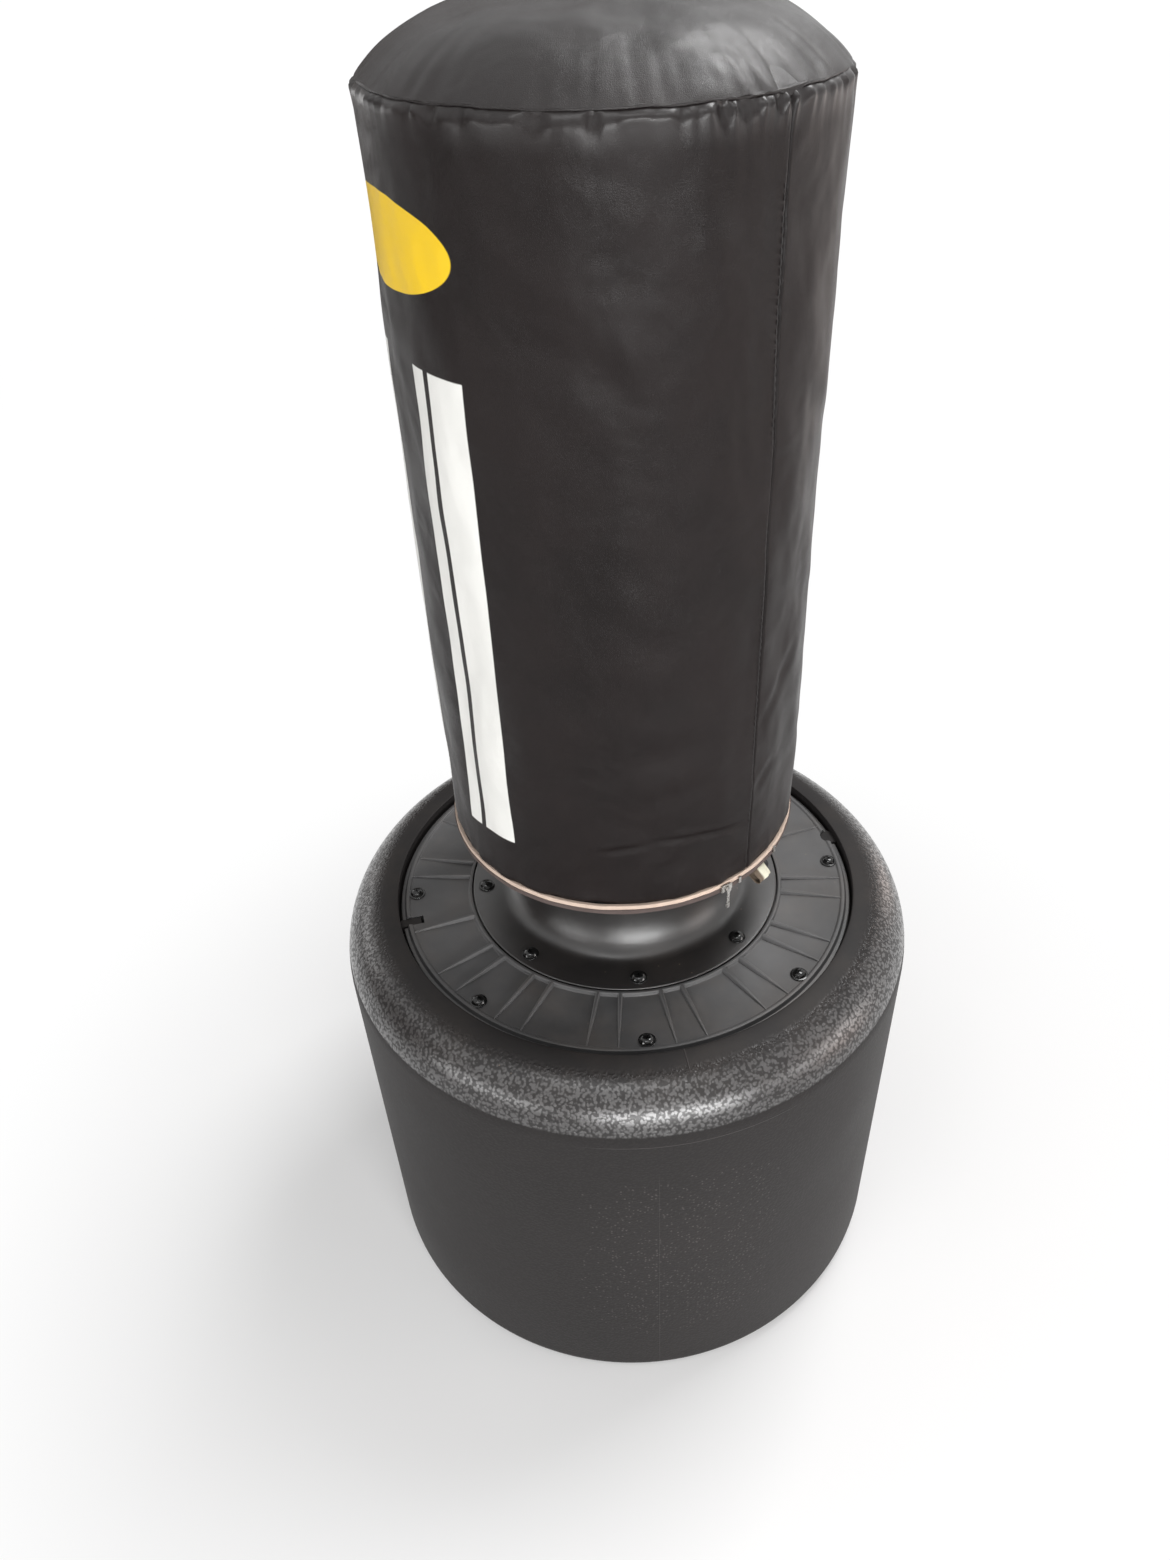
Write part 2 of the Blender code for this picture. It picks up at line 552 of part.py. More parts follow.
def build_tag(parent):
    """A strip of woven tape folded in two, sewn in under the zip and leaning outwards."""
    wide, thick, fold = 0.030, 0.0008, 0.0020
    lean = math.radians(38)
    length = 0.026
    outer = [(0.0, 0.0), (length, 0.0)] + quarter((length, -fold / 2 - thick), (fold, fold / 2 + thick), 70, -70, 3)
    outer += [(length, -fold - 2 * thick), (0.0, -fold - 2 * thick)]
    inner = [(0.0, -fold - thick), (length, -fold - thick), (length + 0.0008, -fold / 2 - thick), (length, -thick)]
    inner += [(0.0, -thick)]
    bm = bmesh.new()
    turn = Matrix.Rotation(math.radians(TAG_ANGLE), 4, "Z")
    corners = []
    for along, across in outer + inner:
        r = BAG_RADIUS - 0.004 + along * math.sin(lean) + across * math.cos(lean)
        z = BAG_BOTTOM - GAP - 0.0001 - along * math.cos(lean) + across * math.sin(lean)
        corners.append(turn @ Matrix.Translation((r, -wide / 2, z)).to_translation())
    face = bm.faces.new([bm.verts.new(point) for point in corners])
    made = bmesh.ops.extrude_face_region(bm, geom=[face])
    moved = [v for v in made["geom"] if isinstance(v, bmesh.types.BMVert)]
    bmesh.ops.translate(bm, verts=moved, vec=turn @ Matrix.Translation((0, wide, 0)).to_translation())
    new_object("sewn_tag", to_mesh(bm, "sewn_tag"), "tag_cloth", parent, smooth=False)


def main():
    clear_scene()
    base = empty("base", (0.0, 0.0, 0.0))
    bush = empty("bush_frame", (0.0, 0.0, SWAY_Z), base)
    bag = empty("bag_frame", (0.0, 0.0, SWAY_Z), bush)
    build_base(base)
    build_sand(base)
    build_plate(base)
    build_collar(base)
    build_screws(base)
    build_plug(base)
    build_core(bag, bush)
    build_foam(bag)
    build_cover(bag)
    build_seams(bag)
    build_zip(bag)
    slider = build_slider(bag)
    build_pull(slider)
    build_tag(bag)


main()
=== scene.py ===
"""Dresses the free-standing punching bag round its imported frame.

Metres, +Z up. Angles are degrees about +Z from +X, and the photo's camera is near -90.
"""
import math

import bmesh
import bpy
from bpy.props import FloatProperty, FloatVectorProperty, IntProperty, PointerProperty
from mathutils import Matrix, Vector, noise


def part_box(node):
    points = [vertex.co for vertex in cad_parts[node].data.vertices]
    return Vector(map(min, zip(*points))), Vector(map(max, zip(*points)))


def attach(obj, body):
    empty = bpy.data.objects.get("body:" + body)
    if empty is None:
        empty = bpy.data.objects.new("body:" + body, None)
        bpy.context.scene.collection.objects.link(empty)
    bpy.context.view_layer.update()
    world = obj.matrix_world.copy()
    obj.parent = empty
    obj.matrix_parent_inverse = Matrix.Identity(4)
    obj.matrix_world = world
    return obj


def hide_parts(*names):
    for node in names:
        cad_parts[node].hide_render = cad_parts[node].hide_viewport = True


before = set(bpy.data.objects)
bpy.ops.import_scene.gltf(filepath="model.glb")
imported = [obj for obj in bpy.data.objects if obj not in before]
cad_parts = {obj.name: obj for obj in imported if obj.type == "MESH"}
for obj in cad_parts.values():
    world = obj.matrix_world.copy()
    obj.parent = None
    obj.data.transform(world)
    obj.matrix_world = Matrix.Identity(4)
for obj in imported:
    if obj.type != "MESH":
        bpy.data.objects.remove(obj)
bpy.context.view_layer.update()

bl_info = {
    "name": "Free-standing punching bag",
    "version": (1, 0, 0),
    "blender": (4, 5, 0),
    "location": "3D View > Sidebar > Punching bag",
    "description": "Builds the finished look of a free-standing punching bag on its frame",
    "category": "Object",
}

# Places read from the frame
BAG_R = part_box("cover_side")[1].x
SIDE_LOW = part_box("cover_side")[0].z
SIDE_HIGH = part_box("cover_side")[1].z
SEAM_Z = (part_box("top_welt")[0].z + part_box("top_welt")[1].z) / 2
DOME_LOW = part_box("cover_top")[0].z
DOME_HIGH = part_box("cover_top")[1].z
TANK_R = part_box("base_shell")[1].x
TANK_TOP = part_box("base_shell")[1].z
PLATE_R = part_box("cover_plate")[1].x
BEAD_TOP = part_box("cover_plate")[1].z
PLATE_TOP = BEAD_TOP - 0.004
FLANGE_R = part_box("collar")[1].x
FLANGE_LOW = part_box("collar")[0].z
FLANGE_TOP = FLANGE_LOW + 0.005
SPIGOT_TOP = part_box("collar")[1].z
ZIP_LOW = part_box("zip_lower_tape")[0].z
ZIP_Z = (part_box("zip_lower_tape")[1].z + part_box("zip_upper_tape")[0].z) / 2
ZIP_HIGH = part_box("zip_upper_tape")[1].z
SHOULDER_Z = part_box("neck_bush")[0].z - 0.0003

# Sizes and angles that the CAD has too
NECK_R = 0.100
SCREW_ANGLES = [-90.0 + 45.0 * i for i in range(8)]
RIB_OFFSETS = (-14.3, -6.8, 6.8, 14.3)
SQUARE_KEY, ROUND_KEY = -170.0, 10.0
SEAM_ANGLE = -52.0
SLIDER_ANGLE = -61.0
TAG_ANGLE = -45.0
PLATE_HOLES = PLATE_R - 0.0169
FLANGE_HOLES = FLANGE_R - 0.0139
NOTCH_R = 0.2163

# The scene's own: the middle of the print, half the gap at the top seam, and the angle between
# faces at which the shading breaks
PRINT_ANGLE = -160.0
SEAM_GAP = 0.0005
SHARP_DEGREES = 35.0


# Meshes

def finish_mesh(bm, name):
    bmesh.ops.recalc_face_normals(bm, faces=bm.faces)
    for face in bm.faces:
        face.smooth = True
    mesh = bpy.data.meshes.new(name)
    bm.to_mesh(mesh)
    bm.free()
    return mesh


def link_object(name, data):
    made = bpy.data.objects.new(name, data)
    bpy.context.scene.collection.objects.link(made)
    return made


def add_piece(name, mesh, look, body, nodes=(), sharp=SHARP_DEGREES):
    """Puts a piece in the scene, on its body, in place of the frame's nodes."""
    if sharp:
        mesh.set_sharp_from_angle(angle=math.radians(sharp))
    piece = link_object(name, mesh)
    if not mesh.materials:
        mesh.materials.append(look)
    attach(piece, body)
    if nodes:
        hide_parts(*nodes)
    return piece


def dress(node, look):
    """Gives a frame node, whose shape is right, its finish."""
    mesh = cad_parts[node].data
    mesh.materials.clear()
    mesh.materials.append(material(look))


def polar(radius, degrees, z=0.0):
    angle = math.radians(degrees)
    return Vector((radius * math.cos(angle), radius * math.sin(angle), z))


def angle_gap(a, b):
    return (a - b + 180.0) % 360.0 - 180.0


def arc(centre, radii, start, stop, steps):
    points = []
    for i in range(steps + 1):
        angle = math.radians(start + (stop - start) * i / steps)
        points.append((centre[0] + radii[0] * math.cos(angle),
                       centre[1] + radii[1] * math.sin(angle)))
    return points


def eased(points, radius, steps=3):
    """Rounds each inner corner of an open outline."""
    done = [points[0]]
    for before, corner, after in zip(points, points[1:], points[2:]):
        here = Vector(corner)
        first, last = Vector(before) - here, Vector(after) - here
        cut = min(radius, first.length * 0.45, last.length * 0.45)
        a, b = here + first.normalized() * cut, here + last.normalized() * cut
        for i in range(steps + 1):
            t = i / steps
            done.append(tuple(a * (1 - t) ** 2 + here * 2 * t * (1 - t) + b * t ** 2))
    return done + [points[-1]]


def turned(outline, segments, ring=False):
    """Turns (radius, height) points about Z."""
    bm = bmesh.new()
    columns = []
    for i in range(segments):
        angle = math.tau * i / segments
        columns.append([(r * math.cos(angle), r * math.sin(angle), z) for r, z in outline])
    poles = {k: bm.verts.new((0, 0, z)) for k, (r, z) in enumerate(outline) if r < 1e-6}
    rows = [[poles.get(k) or bm.verts.new(p) for k, p in enumerate(column)] for column in columns]
    count = len(outline)
    for i, row in enumerate(rows):
        after = rows[(i + 1) % segments]
        for k in range(count if ring else count - 1):
            j = (k + 1) % count
            corners = [row[k], row[j], after[j], after[k]]
            unique = list(dict.fromkeys(corners))
            if len(unique) > 2:
                bm.faces.new(unique)
    return bm


def grid_mesh(place, columns, rows):
    """A closed band of quads: place(i, k) gives each point, and columns go all round."""
    bm = bmesh.new()
    points = [[bm.verts.new(place(i, k)) for k in range(rows)] for i in range(columns)]
    for i in range(columns):
        j = (i + 1) % columns
        for k in range(rows - 1):
            bm.faces.new((points[i][k], points[j][k], points[j][k + 1], points[i][k + 1]))
    return bm


def join_rings(bm, first, second):
    """Quads between two closed rings of as many points."""
    for i in range(len(first)):
        j = (i + 1) % len(first)
        bm.faces.new((first[i], first[j], second[j], second[i]))


def skin_rings(bm, rings):
    """A tube through closed rings of points, shut at both ends."""
    for first, second in zip(rings, rings[1:]):
        join_rings(bm, first, second)
    bm.faces.new(rings[0])
    bm.faces.new(rings[-1])


def add_box(bm, size, centre, turn_degrees=0.0):
    """A box of (radial, tangential, upright) size, at a place given before the turn about Z."""
    turn = Matrix.Rotation(math.radians(turn_degrees), 4, "Z")
    place = turn @ Matrix.Translation(centre) @ Matrix.Diagonal((*size, 1.0))
    return bmesh.ops.create_cube(bm, size=1.0, matrix=place)["verts"]


def add_rod(bm, radius, depth, place, segments=24):
    bmesh.ops.create_cone(bm, cap_ends=True, segments=segments, radius1=radius, radius2=radius,
                          depth=depth, matrix=place)


def add_post(bm, radius, centre, low, high):
    add_rod(bm, radius, high - low, Matrix.Translation((centre[0], centre[1], (low + high) / 2)))


def add_thread(bm, start, end, out, width):
    """One stitch: a thread that rises from the cloth, runs along it and dips back."""
    along = end - start
    side = along.cross(out).normalized()
    steps, sides = 5, 6
    rings = []
    for i in range(steps + 1):
        t = i / steps
        lift = math.sin(math.pi * t) ** 0.5 * width * 0.9 - width * 0.5
        centre = start + along * t + out * lift
        ring = []
        for k in range(sides):
            angle = math.tau * k / sides
            spoke = side * math.cos(angle) + out * math.sin(angle)
            ring.append(bm.verts.new(centre + spoke * width * 0.5))
        rings.append(ring)
    skin_rings(bm, rings)


def combine(piece, bm, operation):
    """Joins a shape to a piece, or cuts it away, and keeps the result as the piece's mesh."""
    mesh = finish_mesh(bm, "tool")
    tool = link_object("tool", mesh)
    modifier = piece.modifiers.new("join", "BOOLEAN")
    modifier.operation = operation
    modifier.solver = "EXACT"
    modifier.object = tool
    graph = bpy.context.evaluated_depsgraph_get()
    made = bpy.data.meshes.new_from_object(piece.evaluated_get(graph))
    piece.modifiers.remove(modifier)
    piece.data = made
    for face in made.polygons:
        face.use_smooth = True
    made.set_sharp_from_angle(angle=math.radians(SHARP_DEGREES))
    bpy.data.objects.remove(tool)
    bpy.data.meshes.remove(mesh)


# Shader nodes

def fill(tree, node, **inputs):
    """Sets inputs, by name or as i0, i1 and so on, to values or to other nodes' sockets."""
    for key, value in inputs.items():
        numbered = key[0] == "i" and key[1:].isdigit()
        socket = node.inputs[int(key[1:])] if numbered else node.inputs[key.replace("_", " ")]
        if isinstance(value, bpy.types.NodeSocket):
            tree.links.new(value, socket)
        else:
            socket.default_value = value


def put(tree, kind, props=None, **inputs):
    """Adds a node, sets its properties and fills its inputs."""
    made = tree.nodes.new(kind)
    for key, value in (props or {}).items():
        setattr(made, key, value)
    fill(tree, made, **inputs)
    return made


def object_point(tree):
    return put(tree, "ShaderNodeTexCoord").outputs["Object"]


def math_node(tree, operation, a, b=0.0, c=0.0, clamp=False):
    made = put(tree, "ShaderNodeMath", {"operation": operation, "use_clamp": clamp},
               i0=a, i1=b, i2=c)
    return made.outputs[0]


def times(tree, a, b):
    return math_node(tree, "MULTIPLY", a, b)


def ramp(tree, value, low, high, start=0.0, stop=1.0):
    made = put(tree, "ShaderNodeMapRange", {"interpolation_type": "SMOOTHSTEP"},
               Value=value, From_Min=low, From_Max=high, To_Min=start, To_Max=stop)
    return made.outputs[0]


def band(tree, value, low, high, soft):
    """1 between low and high, easing to 0 over the soft distance."""
    up = ramp(tree, value, low - soft, low + soft)
    return times(tree, up, ramp(tree, value, high - soft, high + soft, 1.0, 0.0))


def mix(tree, share, first, second):
    made = put(tree, "ShaderNodeMix", {"data_type": "RGBA"}, i0=share, i6=first, i7=second)
    return made.outputs[2]


def new_group(name, inputs, outputs):
    """A shader group with float inputs {name: default} and named float outputs."""
    tree = bpy.data.node_groups.new(name, "ShaderNodeTree")
    for label, default in inputs.items():
        socket = tree.interface.new_socket(label, in_out="INPUT", socket_type="NodeSocketFloat")
        socket.default_value = default
    for label in outputs:
        tree.interface.new_socket(label, in_out="OUTPUT", socket_type="NodeSocketFloat")
    return tree, tree.nodes.new("NodeGroupInput"), tree.nodes.new("NodeGroupOutput")


def polar_group():
    """Angle in degrees, radius and height of a point about the bag's axis."""
    tree, _, end = new_group("Place about axis", {}, ("Angle", "Radius", "Height"))
    x, y, z = put(tree, "ShaderNodeSeparateXYZ", i0=object_point(tree)).outputs
    flat = put(tree, "ShaderNodeCombineXYZ", i0=x, i1=y)
    reach = put(tree, "ShaderNodeVectorMath", {"operation": "LENGTH"}, i0=flat.outputs[0])
    angle = math_node(tree, "DEGREES", math_node(tree, "ARCTAN2", y, x))
    fill(tree, end, Angle=angle, Radius=reach.outputs["Value"], Height=z)
    return tree


def pebble_group():
    """Moulded pebble grain: raised cells with flat tops, broken up by noise."""
    tree, start, end = new_group("Pebble grain", {"Scale": 450.0, "Amount": 1.0},
                                 ("Height", "Tops"))
    where = object_point(tree)
    scale, amount = start.outputs["Scale"], start.outputs["Amount"]
    bent = put(tree, "ShaderNodeTexNoise", Vector=where, Scale=times(tree, scale, 0.6), Detail=1.0)
    shift = put(tree, "ShaderNodeVectorMath", {"operation": "MULTIPLY_ADD"},
                i0=bent.outputs["Color"], i1=(0.003, 0.003, 0.003), i2=where)
    cells = put(tree, "ShaderNodeTexVoronoi", {"feature": "SMOOTH_F1"},
                Vector=shift.outputs[0], Scale=scale)
    tops = ramp(tree, cells.outputs["Distance"], 0.15, 0.62, 1.0, 0.0)
    fine = put(tree, "ShaderNodeTexNoise", Vector=where, Scale=times(tree, scale, 2.2), Detail=2.0)
    mixed = math_node(tree, "ADD", tops, times(tree, fine.outputs[0], 0.45))
    fill(tree, end, Height=times(tree, mixed, amount), Tops=times(tree, tops, amount))
    return tree


def dust_group():
    """Settled dust: a thin film on faces that look up, and scattered specks."""
    tree, start, end = new_group("Dust", {"Film": 0.2, "Specks": 0.5}, ("Mask",))
    where = object_point(tree)
    normal = put(tree, "ShaderNodeNewGeometry").outputs["Normal"]
    facing = ramp(tree, put(tree, "ShaderNodeSeparateXYZ", i0=normal).outputs[2], 0.35, 0.95)
    patches = put(tree, "ShaderNodeTexNoise", Vector=where, Scale=14.0, Detail=5.0, Roughness=0.65)
    film = times(tree, facing, ramp(tree, patches.outputs[0], 0.40, 0.72))
    film = times(tree, film, start.outputs["Film"])
    dots = put(tree, "ShaderNodeTexVoronoi", Vector=where, Scale=95.0)
    pick = put(tree, "ShaderNodeSeparateColor", i0=dots.outputs["Color"]).outputs[0]
    small = ramp(tree, dots.outputs["Distance"], 0.05, 0.10, 1.0, 0.0)
    rare = ramp(tree, pick, 0.90, 0.92)
    specks = times(tree, times(tree, small, rare), start.outputs["Specks"])
    specks = times(tree, specks, facing)
    fill(tree, end, Mask=math_node(tree, "MAXIMUM", film, specks, clamp=True))
    return tree


def grain_group():
    """Fine creased grain of a coated cloth, or of satin plastic at a smaller amount."""
    tree, start, end = new_group("Fine grain", {"Scale": 700.0}, ("Height",))
    where, scale = object_point(tree), start.outputs["Scale"]
    cells = put(tree, "ShaderNodeTexVoronoi", {"feature": "DISTANCE_TO_EDGE"},
                Vector=where, Scale=scale)
    lines = ramp(tree, cells.outputs["Distance"], 0.0, 0.16)
    soft = put(tree, "ShaderNodeTexNoise", Vector=where, Scale=times(tree, scale, 0.5), Detail=3.0)
    fill(tree, end, Height=math_node(tree, "ADD", lines, soft.outputs[0]))
    return tree


def patch_group():
    """Broad uneven patches, for colour and gloss that drift over a surface."""
    tree, start, end = new_group("Patches", {"Scale": 8.0}, ("Value",))
    drift = put(tree, "ShaderNodeTexNoise", Vector=object_point(tree), Scale=start.outputs["Scale"],
                Detail=4.0, Roughness=0.6)
    fill(tree, end, Value=ramp(tree, drift.outputs[0], 0.3, 0.7))
    return tree


GROUP_MAKERS = {
    "Place about axis": polar_group,
    "Pebble grain": pebble_group,
    "Dust": dust_group,
    "Fine grain": grain_group,
    "Patches": patch_group,
}


def use_group(tree, name, **inputs):
    shared = bpy.data.node_groups.get(name) or GROUP_MAKERS[name]()
    return put(tree, "ShaderNodeGroup", {"node_tree": shared}, **inputs).outputs


def new_material(name, **values):
    """A material with one Principled shader, whose plain values are set on its own sockets."""
    made = bpy.data.materials.new(name)
    made.use_nodes = True
    shader = made.node_tree.nodes["Principled BSDF"]
    fill(made.node_tree, shader, **values)
    return made, made.node_tree, shader


def bump(tree, shader, height, strength, distance):
    made = put(tree, "ShaderNodeBump", Height=height, Strength=strength, Distance=distance)
    fill(tree, shader, Normal=made.outputs[0])


def rgba(colour):
    return (*colour[:3], 1.0)


def shade(colour, factor):
    return (*[min(1.0, c * factor) for c in colour[:3]], 1.0)


def drifting(tree, shader, scale, colour, shades, rough, spread):
    """Colour and roughness that drift together over a surface. Gives the colour."""
    drift = use_group(tree, "Patches", Scale=scale)["Value"]
    fill(tree, shader, Roughness=math_node(tree, "MULTIPLY_ADD", drift, spread, rough))
    return mix(tree, drift, *[shade(colour, factor) for factor in shades])


def tank_material(look):
    """Black moulded plastic: coarse pebble on the shoulder, finer below, smooth by the plate."""
    made, tree, shader = new_material("tank_grained_plastic", Specular_IOR_Level=0.20,
                                      Coat_Roughness=0.33, Coat_IOR=1.9)
    place = use_group(tree, "Place about axis")
    inner = ramp(tree, place["Radius"], PLATE_R + 0.0150, PLATE_R + 0.0260)
    sheen = ramp(tree, place["Radius"], PLATE_R + 0.0150, PLATE_R + 0.0440)
    zone = ramp(tree, place["Height"], TANK_TOP - 0.0480, TANK_TOP - 0.0440, 0.20, 1.0)
    amount = times(tree, inner, zone)
    coarse = use_group(tree, "Pebble grain", Scale=look.grain_scale, Amount=amount)
    drift = use_group(tree, "Patches", Scale=6.0)
    dust = use_group(tree, "Dust", Film=0.05, Specks=0.4)
    line_at = TANK_TOP - 0.060
    parting = band(tree, place["Height"], line_at - 0.0005, line_at + 0.0005, 0.0004)
    upright = band(tree, place["Angle"], -89.70, -89.55, 0.06)
    below = ramp(tree, place["Height"], TANK_TOP - 0.12, TANK_TOP - 0.10, 0.35, 0.0)
    mould = band(tree, place["Angle"], -82.55, -82.25, 0.10)
    above = ramp(tree, place["Height"], TANK_TOP - 0.006, TANK_TOP - 0.004)
    # The parting line is kept to the front, where light catches it.
    parting = times(tree, parting, band(tree, place["Angle"], -98.0, -68.0, 7.0))
    marks = math_node(tree, "MAXIMUM", parting, times(tree, upright, below))
    marks = math_node(tree, "MAXIMUM", marks, times(tree, mould, above))
    base = mix(tree, drift["Value"], shade(look.tank, 0.85), shade(look.tank, 1.15))
    # Painted highlight: the grain tops are painted lighter than the pits, for the glints of light
    # on the grain.
    base = mix(tree, coarse["Tops"], base, shade(look.tank, 1.7))
    base = mix(tree, dust["Mask"], base, rgba(look.dust))
    # Painted highlights: light specks, only on the front of the side, for the glints of the front
    # light on the grain.
    dots = put(tree, "ShaderNodeTexVoronoi", Vector=object_point(tree), Scale=270.0)
    chance = put(tree, "ShaderNodeSeparateColor", i0=dots.outputs["Color"]).outputs[0]
    front = times(tree, band(tree, place["Angle"], -106.0, -64.0, 16.0),
                  band(tree, place["Height"], 0.08, TANK_TOP - 0.11, 0.045))
    pick = math_node(tree, "GREATER_THAN", times(tree, chance, front), 0.52)
    specks = times(tree, ramp(tree, dots.outputs["Distance"], 0.16, 0.36, 1.0, 0.0), pick)
    base = mix(tree, times(tree, specks, 0.38), base, shade(look.tank, 8.0))
    # Painted highlight: the mould lines are painted lighter, as lines that catch the light.
    base = mix(tree, times(tree, marks, 0.6), base, shade(look.tank, 4.0))
    matt = ramp(tree, amount, 0.2, 1.0, 0.20, 0.0)
    tops = ramp(tree, coarse["Tops"], 0.0, 0.8, 0.32, 0.15)
    rough = math_node(tree, "MULTIPLY_ADD", drift["Value"], 0.06,
                      math_node(tree, "ADD", tops, matt))
    gloss_and_shade = ramp(tree, times(tree, sheen, zone), 0.2, 1.0)
    tips = ramp(tree, coarse["Tops"], 0.05, 0.70, 0.26, 1.0)
    fill(tree, shader, Base_Color=base, Roughness=rough, Coat_Weight=times(tree, gloss_and_shade, tips))
    height = math_node(tree, "ADD", coarse["Height"], times(tree, marks, 1.5))
    bump(tree, shader, height, 1.0, 0.00045)
    return made


def satin_material(name, colour, look, rough, film, scale, gloss=0.45):
    """Satin moulded plastic with fine texture, drifting gloss and settled dust."""
    made, tree, shader = new_material(name, Specular_IOR_Level=gloss)
    base = drifting(tree, shader, scale, colour, (0.80, 1.20), rough, 0.06)
    dust = use_group(tree, "Dust", Film=film, Specks=0.85)
    fill(tree, shader, Base_Color=mix(tree, dust["Mask"], base, rgba(look.dust)))
    bump(tree, shader, use_group(tree, "Fine grain", Scale=1500.0)["Height"], 0.12, 0.0004)
    return made


def print_masks(tree, place, look):
    """Plain upright bars and an oval, as printed ink on the cover's side."""
    off = math_node(tree, "SUBTRACT", place["Angle"], PRINT_ANGLE)
    wrapped = math_node(tree, "WRAP", off, 180.0, -180.0)
    across = times(tree, math_node(tree, "RADIANS", wrapped), BAG_R)
    tall = band(tree, place["Height"], look.print_low, look.print_high, 0.0006)
    out = math_node(tree, "ABSOLUTE", across)
    wide = band(tree, out, 0.030, 0.088, 0.0006)
    gap = band(tree, out, 0.046, 0.052, 0.0006)
    bars = times(tree, tall, math_node(tree, "SUBTRACT", wide, gap, clamp=True))
    rise = times(tree, math_node(tree, "SUBTRACT", place["Height"], look.disc_height), 2.9)
    squares = math_node(tree, "MULTIPLY_ADD", across, across, times(tree, rise, rise))
    disc = ramp(tree, math_node(tree, "SQRT", squares), 0.0865, 0.0880, 1.0, 0.0)
    return bars, disc


def vinyl_material(look, printed):
    """Black coated cloth with a soft sheen, fine grain and, on the side, plain printed shapes."""
    name, gloss = ("vinyl_printed", 0.18) if printed else ("vinyl_plain", 0.42)
    made, tree, shader = new_material(name, Specular_IOR_Level=gloss)
    base = drifting(tree, shader, 9.0, look.vinyl, (0.82, 1.22), look.vinyl_rough, 0.12)
    if printed:
        place = use_group(tree, "Place about axis")
        stretched = ramp(tree, place["Height"], SEAM_Z - 0.026, SEAM_Z - 0.002, 0.0, 0.55)
        fill(tree, shader, Coat_Weight=stretched, Coat_Roughness=look.vinyl_rough)
        bars, disc = print_masks(tree, place, look)
        base = mix(tree, bars, base, rgba(look.print_white))
        base = mix(tree, disc, base, rgba(look.print_yellow))
    fill(tree, shader, Base_Color=base)
    fine = use_group(tree, "Fine grain", Scale=look.vinyl_grain)
    soft = put(tree, "ShaderNodeTexNoise", Vector=object_point(tree),
               Scale=13.0, Detail=2.5, Roughness=0.5, Distortion=0.3)
    faint = times(tree, fine["Height"], 0.06)
    height = math_node(tree, "MULTIPLY_ADD", soft.outputs[0], look.vinyl_mottle, faint)
    bump(tree, shader, height, 1.0, 0.0010)
    return made


def woven_material(name, colour, pitch, gloss_and_shade=None):
    """Woven tape or label cloth: crossing threads from two sine waves, with painted shade where the
    threads dip.

    A shade colour, where there is one, shows left of the tag's middle: painted shade on the inside
    of the tag's fold.
    """
    made, tree, shader = new_material(name, Roughness=0.85, Specular_IOR_Level=0.25)
    place = use_group(tree, "Place about axis")
    arc_length = times(tree, math_node(tree, "RADIANS", place["Angle"]), BAG_R)
    rows = math_node(tree, "SINE", times(tree, place["Height"], math.tau / pitch))
    columns = math_node(tree, "SINE", times(tree, arc_length, math.tau / pitch))
    height = math_node(tree, "MULTIPLY_ADD", times(tree, rows, columns), 0.5, 0.5)
    drift = use_group(tree, "Patches", Scale=40.0)
    base = mix(tree, drift["Value"], shade(colour, 0.86), shade(colour, 1.05))
    # Painted shade: darker where the threads dip.
    base = mix(tree, ramp(tree, height, 0.0, 0.5, 0.35, 0.0), base, shade(colour, 0.6))
    # Painted shade: left of the tag's middle, the inside of its fold, takes the shade colour.
    if gloss_and_shade:
        left = ramp(tree, place["Angle"], TAG_ANGLE - 1.3, TAG_ANGLE - 0.5, 1.0, 0.0)
        base = mix(tree, left, base, rgba(gloss_and_shade))
    fill(tree, shader, Base_Color=base)
    bump(tree, shader, height, 0.4, 0.0003)
    return made


def metal_material(name, colour, rough, metallic):
    """Plated or painted metal with faint handling marks."""
    made, tree, shader = new_material(name, Metallic=metallic)
    base = drifting(tree, shader, 300.0, colour, (0.85, 1.0), rough, 0.12)
    fill(tree, shader, Base_Color=base)
    return made


def plain_material(name, colour, rough, grain, depth):
    """Hidden stock such as foam, sand, rubber and tube: drifting colour and a grain."""
    made, tree, shader = new_material(name)
    base = drifting(tree, shader, 30.0, colour, (0.8, 1.15), rough, 0.08)
    fill(tree, shader, Base_Color=base)
    bump(tree, shader, use_group(tree, "Fine grain", Scale=grain)["Height"], 0.4, depth)
    return made


